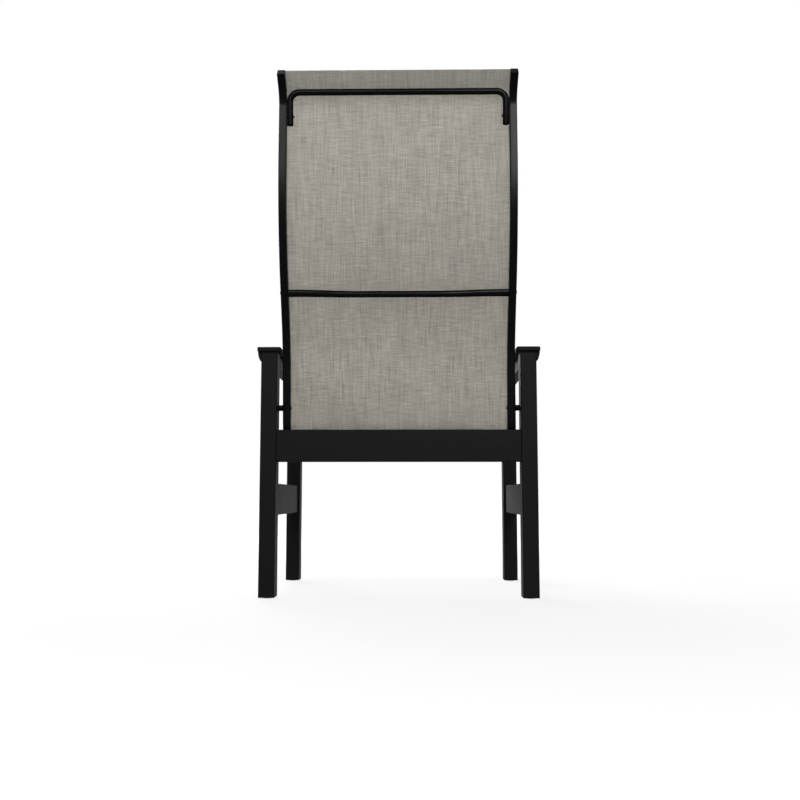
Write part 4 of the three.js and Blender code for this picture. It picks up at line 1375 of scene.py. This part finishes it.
def hang_lamps(stage):
    """Hangs the area lamps and the fill. A lamp whose name ends in key only gives gloss."""
    # Name, power, width, height, place and the height that it aims at
    lamps = [
        ("left_key", stage.key_left, 1.3, 1.6, (0.9, 3.7, 2.35), 1.0),
        ("right_key", stage.key_right, 1.3, 1.6, (-1.0, 3.7, 2.35), 1.0),
        ("front_key", stage.key_front, 2.0, 1.2, (0.4, -3.9, 2.4), 0.8),
        ("left_side_key", stage.key_side, 1.6, 1.6, (3.8, -1.3, 2.0), 0.7),
        ("right_side_key", stage.key_side, 1.6, 1.6, (-3.8, -1.3, 2.0), 0.7),
        ("front", stage.front, 1.8, 1.4, (1.5, -3.2, 1.9), 0.6),
        ("top", stage.top, 1.3, 1.3, (0.3, -0.1, 3.1), 0.0),
    ]
    for name, power, width, height, place, aim_height in lamps:
        light = bpy.data.lights.new(f"{name}_lamp", "AREA")
        light.shape = "RECTANGLE"
        light.energy = power
        light.size = width
        light.size_y = height
        lights_matte = not name.endswith("key")
        hang_lamp(light, place, aim_height, gives_gloss=True, lights_matte=lights_matte)

    # The fill only lights matte surfaces and casts no shadow, so no bar shades the cloth
    fill = bpy.data.lights.new("fill_lamp", "SUN")
    fill.energy = stage.fill
    fill.angle = stage.fill_spread
    fill.use_shadow = False
    place = (0, math.cos(stage.fill_up), math.sin(stage.fill_up))
    hang_lamp(fill, place, aim_height=0, gives_gloss=False, lights_matte=True)


def light_world(stage):
    """Makes a dim sky with a dark ceiling, and walls that are white where they are seen or mirrored."""
    world = bpy.data.worlds.new("Studio")
    world.use_nodes = True
    tree = world.node_tree
    tree.nodes.clear()
    strength = add(tree, "ShaderNodeMix", {
        0: seen_or_mirrored(tree), 2: stage.sky, 3: 1.0,
    }, data_type="FLOAT")
    # Sines of the angles at which the ceiling starts and is all there, about 30 and 40 degrees up
    ceiling_from, ceiling_to = 0.5, 0.65
    way = add(tree, "ShaderNodeSeparateXYZ", {0: add(tree, "ShaderNodeTexCoord").outputs["Generated"]})
    ceiling = add(tree, "ShaderNodeMapRange", {
        "Value": way.outputs["Z"], "From Min": ceiling_from, "From Max": ceiling_to,
        "To Min": 1.0, "To Max": stage.ceiling,
    })
    light = add(tree, "ShaderNodeMath", {
        0: strength.outputs[0], 1: ceiling.outputs[0],
    }, operation="MULTIPLY")
    sky = add(tree, "ShaderNodeBackground", {"Color": (1, 1, 1, 1), "Strength": light.outputs[0]})
    add(tree, "ShaderNodeOutputWorld", {"Surface": sky.outputs[0]})
    bpy.context.scene.world = world


# Operators, one for each piece or group of like pieces


class CHAIR_OT_legs(bpy.types.Operator):
    """Builds the four square legs."""

    bl_idname = "patio_chair.legs"
    bl_label = "Legs"

    def execute(self, context):
        for number, node in enumerate(four("leg")):
            make_board(node, Z, "leg", number)
        return {"FINISHED"}


class CHAIR_OT_planks(bpy.types.Operator):
    """Builds the cross planks, the planks under the arms and the low stretchers."""

    bl_idname = "patio_chair.planks"
    bl_label = "Planks"

    def execute(self, context):
        for number, row in enumerate(ROWS):
            make_board(f"{row}_cross_plank", X, "cross_plank", number)
        for number, side in enumerate(SIDES):
            make_board(f"arm_plank_{side}", Y, "arm_plank", number)
            make_board(f"stretcher_{side}", Y, "stretcher", number)
        return {"FINISHED"}


class CHAIR_OT_arms(bpy.types.Operator):
    """Builds the two flat arms with rounded corners and edges."""

    bl_idname = "patio_chair.arms"
    bl_label = "Arms"

    def execute(self, context):
        boards = context.scene.patio_chair.boards
        edge = boards.arm_edge
        for number, side in enumerate(SIDES):
            node = f"arm_{side}"
            low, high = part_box(node)
            levels = [
                (edge * (1 - math.sin(turn)), low.z + edge * (1 - math.cos(turn)))
                for turn in quarter_turn(steps=4)
            ]
            levels += [(inset, low.z + high.z - z) for inset, z in reversed(levels)]
            rings = []
            for inset, z in levels:
                outline = rounded_rectangle(
                    (low.x + inset, low.y + inset), (high.x - inset, high.y - inset),
                    (boards.arm_front_corner - inset, boards.arm_rear_corner - inset), steps=10,
                )
                rings.append(np.column_stack((outline, np.full(len(outline), z))))
            place_lumber(node, "board", closed_mesh(node, *skin(rings)), Y, "arm", number)
        return {"FINISHED"}


class CHAIR_OT_corbels(bpy.types.Operator):
    """Builds the small rounded brackets between the legs' outer faces and the arms."""

    bl_idname = "patio_chair.corbels"
    bl_label = "Corbels"

    def execute(self, context):
        boards = context.scene.patio_chair.boards
        for number, node in enumerate(four("corbel")):
            sign = SIDES[node.split("_")[-1]]
            low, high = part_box(node)
            size = high - low
            x_leg = low.x if sign > 0 else high.x
            outline = np.concatenate(([(0, 0)], corbel_curve(size.x, size.z, boards.corbel_bulge)))
            x, z = x_leg + sign * outline[:, 0], high.z + outline[:, 1]
            rings = [np.column_stack((x, np.full(len(outline), y), z)) for y in (low.y, high.y)]
            work = work_on(*skin(rings))
            round_edges(work, keen_edges(work, degrees=30), boards.corbel_edge, segments=3)
            place_lumber(node, "block", smooth_mesh(node, work), Y, "corbel", number)
        return {"FINISHED"}


class CHAIR_OT_glides(bpy.types.Operator):
    """Builds the round glides under the legs."""

    bl_idname = "patio_chair.glides"
    bl_label = "Glides"

    def execute(self, context):
        edge = context.scene.patio_chair.boards.glide_edge
        for node in four("glide"):
            low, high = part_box(node)
            radius, middle = (high.x - low.x) / 2, centre_of(node)
            rim = [
                (edge * (1 - math.cos(turn)), radius - edge * (1 - math.sin(turn)), 0)
                for turn in quarter_turn(steps=4)
            ]
            profile = [*rim, (high.z - low.z, radius, 0)]
            rings = turned(profile, (middle.x, middle.y, low.z), (0, 0, 1), GLIDE_SIDES)
            place_skin(node, "disc", "black_plastic", rings)
        return {"FINISHED"}


class CHAIR_OT_rails(bpy.types.Operator):
    """Builds the bent sling rails and the splines in their grooves."""

    bl_idname = "patio_chair.rails"
    bl_label = "Rails"

    def execute(self, context):
        rails = context.scene.patio_chair.rails
        places, _, _ = rail_profile()
        for side, sign in SIDES.items():
            centre, half_width = rail_span(side)
            section = rail_section(rails, half_width, sign)
            rings = carried(places, [section] * len(places), (centre, 0, 0))
            flatten_faces(place_skin(f"side_rail_{side}", "tube", "rail_metal", rings, sharp_degrees=40))

            rod = ellipse(rails.spline_radius, rails.spline_radius, SPLINE_SIDES)
            rod += (-sign * (half_width - rails.groove_inset), groove_level(rails))
            rings = carried(places, [rod] * len(places), (centre, 0, 0))
            place_skin(f"spline_{side}", "rod", "black_plastic", rings)
        return {"FINISHED"}


class CHAIR_OT_rail_caps(bpy.types.Operator):
    """Builds the moulded caps on the rails' ends."""

    bl_idname = "patio_chair.rail_caps"
    bl_label = "Rail Caps"

    def execute(self, context):
        rails = context.scene.patio_chair.rails
        places, _, _ = rail_profile()
        edge = rails.cap_edge
        shoulder = CAP_GAP + rails.cap_thickness - edge
        levels = [(CAP_GAP, 0)]
        levels += [
            (shoulder + edge * math.sin(turn), edge * (1 - math.cos(turn)))
            for turn in quarter_turn(steps=5)
        ]
        for side in SIDES:
            centre, half_width = rail_span(side)
            for end, place, outward in (("top", places[-1], 1), ("front", places[0], -1)):
                rings = []
                for out, inset in levels:
                    half_x, half_y = half_width - inset, rails.depth / 2 - inset
                    radius = rails.corner - inset
                    outline = rounded_rectangle((-half_x, -half_y), (half_x, half_y), (radius, radius))
                    rings += carried([on_profile(place, outward * out, 0)], [outline], (centre, 0, 0))
                flatten_faces(place_skin(f"rail_cap_{end}_{side}", "lid", "black_plastic", rings))
        return {"FINISHED"}


class CHAIR_OT_sling(bpy.types.Operator):
    """Builds the one stretched cloth that makes the seat and the back."""

    bl_idname = "patio_chair.sling"
    bl_label = "Sling"

    def execute(self, context):
        chair = context.scene.patio_chair
        sling = chair.sling
        rail_places, starts, _ = rail_profile()
        places = cloth_places(rail_places, sling)
        bend_middle = [(a + b) / 2 for a, b in zip(starts["seat_bend"][:2], starts["foot"][:2])]
        pulls = bridging(places, bend_middle, sling)
        low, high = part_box("sling")
        half_width = (high.x - low.x) / 2
        widths = np.full(len(places), half_width)
        widths[[0, 1, -2, -1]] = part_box("side_rail_left")[0].x - sling.clearance
        across = np.linspace(-1, 1, sling.columns + 1)
        sheets = []
        for face in (-0.5, 0.5):
            level = groove_level(chair.rails) + face * sling.thickness
            sections = [
                np.column_stack((across * width, level + pull * (1 - across**2)))
                for width, pull in zip(widths, pulls)
            ]
            sheets.append(np.array(carried(places, sections)))
        mesh, length = cloth_mesh(sheets)
        cloth = place_piece("sling_cloth_panel", mesh, "sling_cloth", ["sling"])
        return {"FINISHED"}


class CHAIR_OT_bowed_bars(bpy.types.Operator):
    """Builds the back bar and the two seat bars, which bow away from the sling."""

    bl_idname = "patio_chair.bowed_bars"
    bl_label = "Bowed Bars"

    def execute(self, context):
        bars, rails = context.scene.patio_chair.bars, context.scene.patio_chair.rails
        _, starts, seat_run = rail_profile()
        # Each bar's run of the profile, and how far along it the bar sits
        spots = {
            "back_bar": ("recline", bars.back_up_recline),
            "seat_bar_front": ("seat", rails.seat_past_bolt + bars.seat_front_behind_bolt),
            "seat_bar_rear": ("seat", seat_run - bars.seat_rear_along),
        }
        for node, (run, along) in spots.items():
            y, z, heading = on_profile(starts[run], along, -bars.behind_centre)
            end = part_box(node)[1].x
            places = bowed_path(bars, end)
            shares = [min(1, (end - abs(x)) / (bars.stub + bars.bow_run)) for x, _, _ in places]
            sections = [bowed_section(bars, share) for share in shares]
            away = (0, math.sin(heading), -math.cos(heading))
            rings = carried(places, sections, (0, y, z), (1, 0, 0), away)
            place_skin(node, "tube", "rail_metal", rings)
        return {"FINISHED"}


class CHAIR_OT_head_bar(bpy.types.Operator):
    """Builds the U-shaped head bar and the plugs in its ends."""

    bl_idname = "patio_chair.head_bar"
    bl_label = "Head Bar"

    def execute(self, context):
        chair = context.scene.patio_chair
        bars = chair.bars
        _, starts, _ = rail_profile()
        y, z, up = head_bar_foot(chair, starts)
        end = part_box("head_bar")[1].x - bars.head_radius
        rise = bars.head_rise - bars.head_bend
        quarter = math.pi / 2
        places, _ = travel(-end, 0, quarter, [
            straight("rise", rise),
            bend("turn_in", bars.head_bend, -quarter),
            straight("crossbar", 2 * (end - bars.head_bend)),
            bend("turn_down", bars.head_bend, -quarter),
            straight("fall", rise),
        ])
        section = ellipse(bars.head_radius, bars.head_radius, bars.sides)
        rings = carried(places, [section] * len(places), (0, y, z), (1, 0, 0), up)
        place_skin("head_bar", "tube", "rail_metal", rings)
        dome = [
            (
                bars.plug_cap * math.cos(turn),
                bars.head_radius * (1 - bars.plug_dome_share * (1 - math.sin(turn))),
                0,
            )
            for turn in quarter_turn(steps=4)
        ]
        down = tuple(-c for c in up)
        for side, sign in SIDES.items():
            start = (sign * end, y + down[1] * CAP_GAP, z + down[2] * CAP_GAP)
            rings = turned(dome, start, down, bars.sides)
            place_skin(f"head_bar_plug_{side}", "cap", "black_plastic", rings)
        return {"FINISHED"}


class CHAIR_OT_fasteners(bpy.types.Operator):
    """Builds the bolts, screws and spacers, and finishes the inserts."""

    bl_idname = "patio_chair.fasteners"
    bl_label = "Fasteners"

    def execute(self, context):
        fasteners = context.scene.patio_chair.fasteners
        # Kind, shank, head height, and 1 where the screw points away from the chair's middle
        kinds = [(f"{row}_bolt", fasteners.bolt_shank, fasteners.bolt_head_height, 1) for row in ROWS]
        kinds += [
            (f"{bar}_screw", fasteners.bar_screw_shank, fasteners.bar_screw_head_height, -1)
            for bar in ("back_bar", "seat_bar_front", "seat_bar_rear")
        ]
        kinds.append(("head_bar_screw", fasteners.head_screw_shank, fasteners.screw_head_height, 1))
        for kind, shank, head_height, outward in kinds:
            for side, sign in SIDES.items():
                make_screw(f"{kind}_{side}", sign * outward, shank, head_height, fasteners)
        for node in four("spacer"):
            make_spacer(node, fasteners)
        for node in four("insert"):
            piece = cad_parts[node]
            piece.data.materials.clear()
            piece.data.materials.append(finish_for("insert_brass"))
        return {"FINISHED"}


class CHAIR_OT_stage(bpy.types.Operator):
    """Sets up the camera, the floor, the lamps and the world."""

    bl_idname = "patio_chair.stage"
    bl_label = "Stage"

    def execute(self, context):
        stage = context.scene.patio_chair.stage
        set_camera(stage)
        lay_floor(stage)
        hang_lamps(stage)
        light_world(stage)
        context.scene.view_settings.view_transform = "Standard"
        return {"FINISHED"}


OPERATORS = (
    CHAIR_OT_legs,
    CHAIR_OT_planks,
    CHAIR_OT_arms,
    CHAIR_OT_corbels,
    CHAIR_OT_glides,
    CHAIR_OT_rails,
    CHAIR_OT_rail_caps,
    CHAIR_OT_sling,
    CHAIR_OT_bowed_bars,
    CHAIR_OT_head_bar,
    CHAIR_OT_fasteners,
    CHAIR_OT_stage,
)


class CHAIR_PT_pieces(bpy.types.Panel):
    """Lists the chair's operators."""

    bl_idname = "CHAIR_PT_pieces"
    bl_label = "Sling Patio Chair"
    bl_space_type = "VIEW_3D"
    bl_region_type = "UI"
    bl_category = "Chair"

    def draw(self, context):
        for operator in OPERATORS:
            self.layout.operator(operator.bl_idname)


CLASSES = (
    BoardSettings, RailSettings, SlingSettings, BarSettings, FastenerSettings, FinishSettings,
    StageSettings, ChairSettings, *OPERATORS, CHAIR_PT_pieces,
)


def register():
    for made in CLASSES:
        bpy.utils.register_class(made)
    bpy.types.Scene.patio_chair = PointerProperty(type=ChairSettings)


def unregister():
    del bpy.types.Scene.patio_chair
    for made in reversed(CLASSES):
        bpy.utils.unregister_class(made)


def main():
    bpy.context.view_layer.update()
    register()
    for operator in OPERATORS:
        group, name = operator.bl_idname.split(".")
        getattr(getattr(bpy.ops, group), name)()


if __name__ == "__main__":
    main()
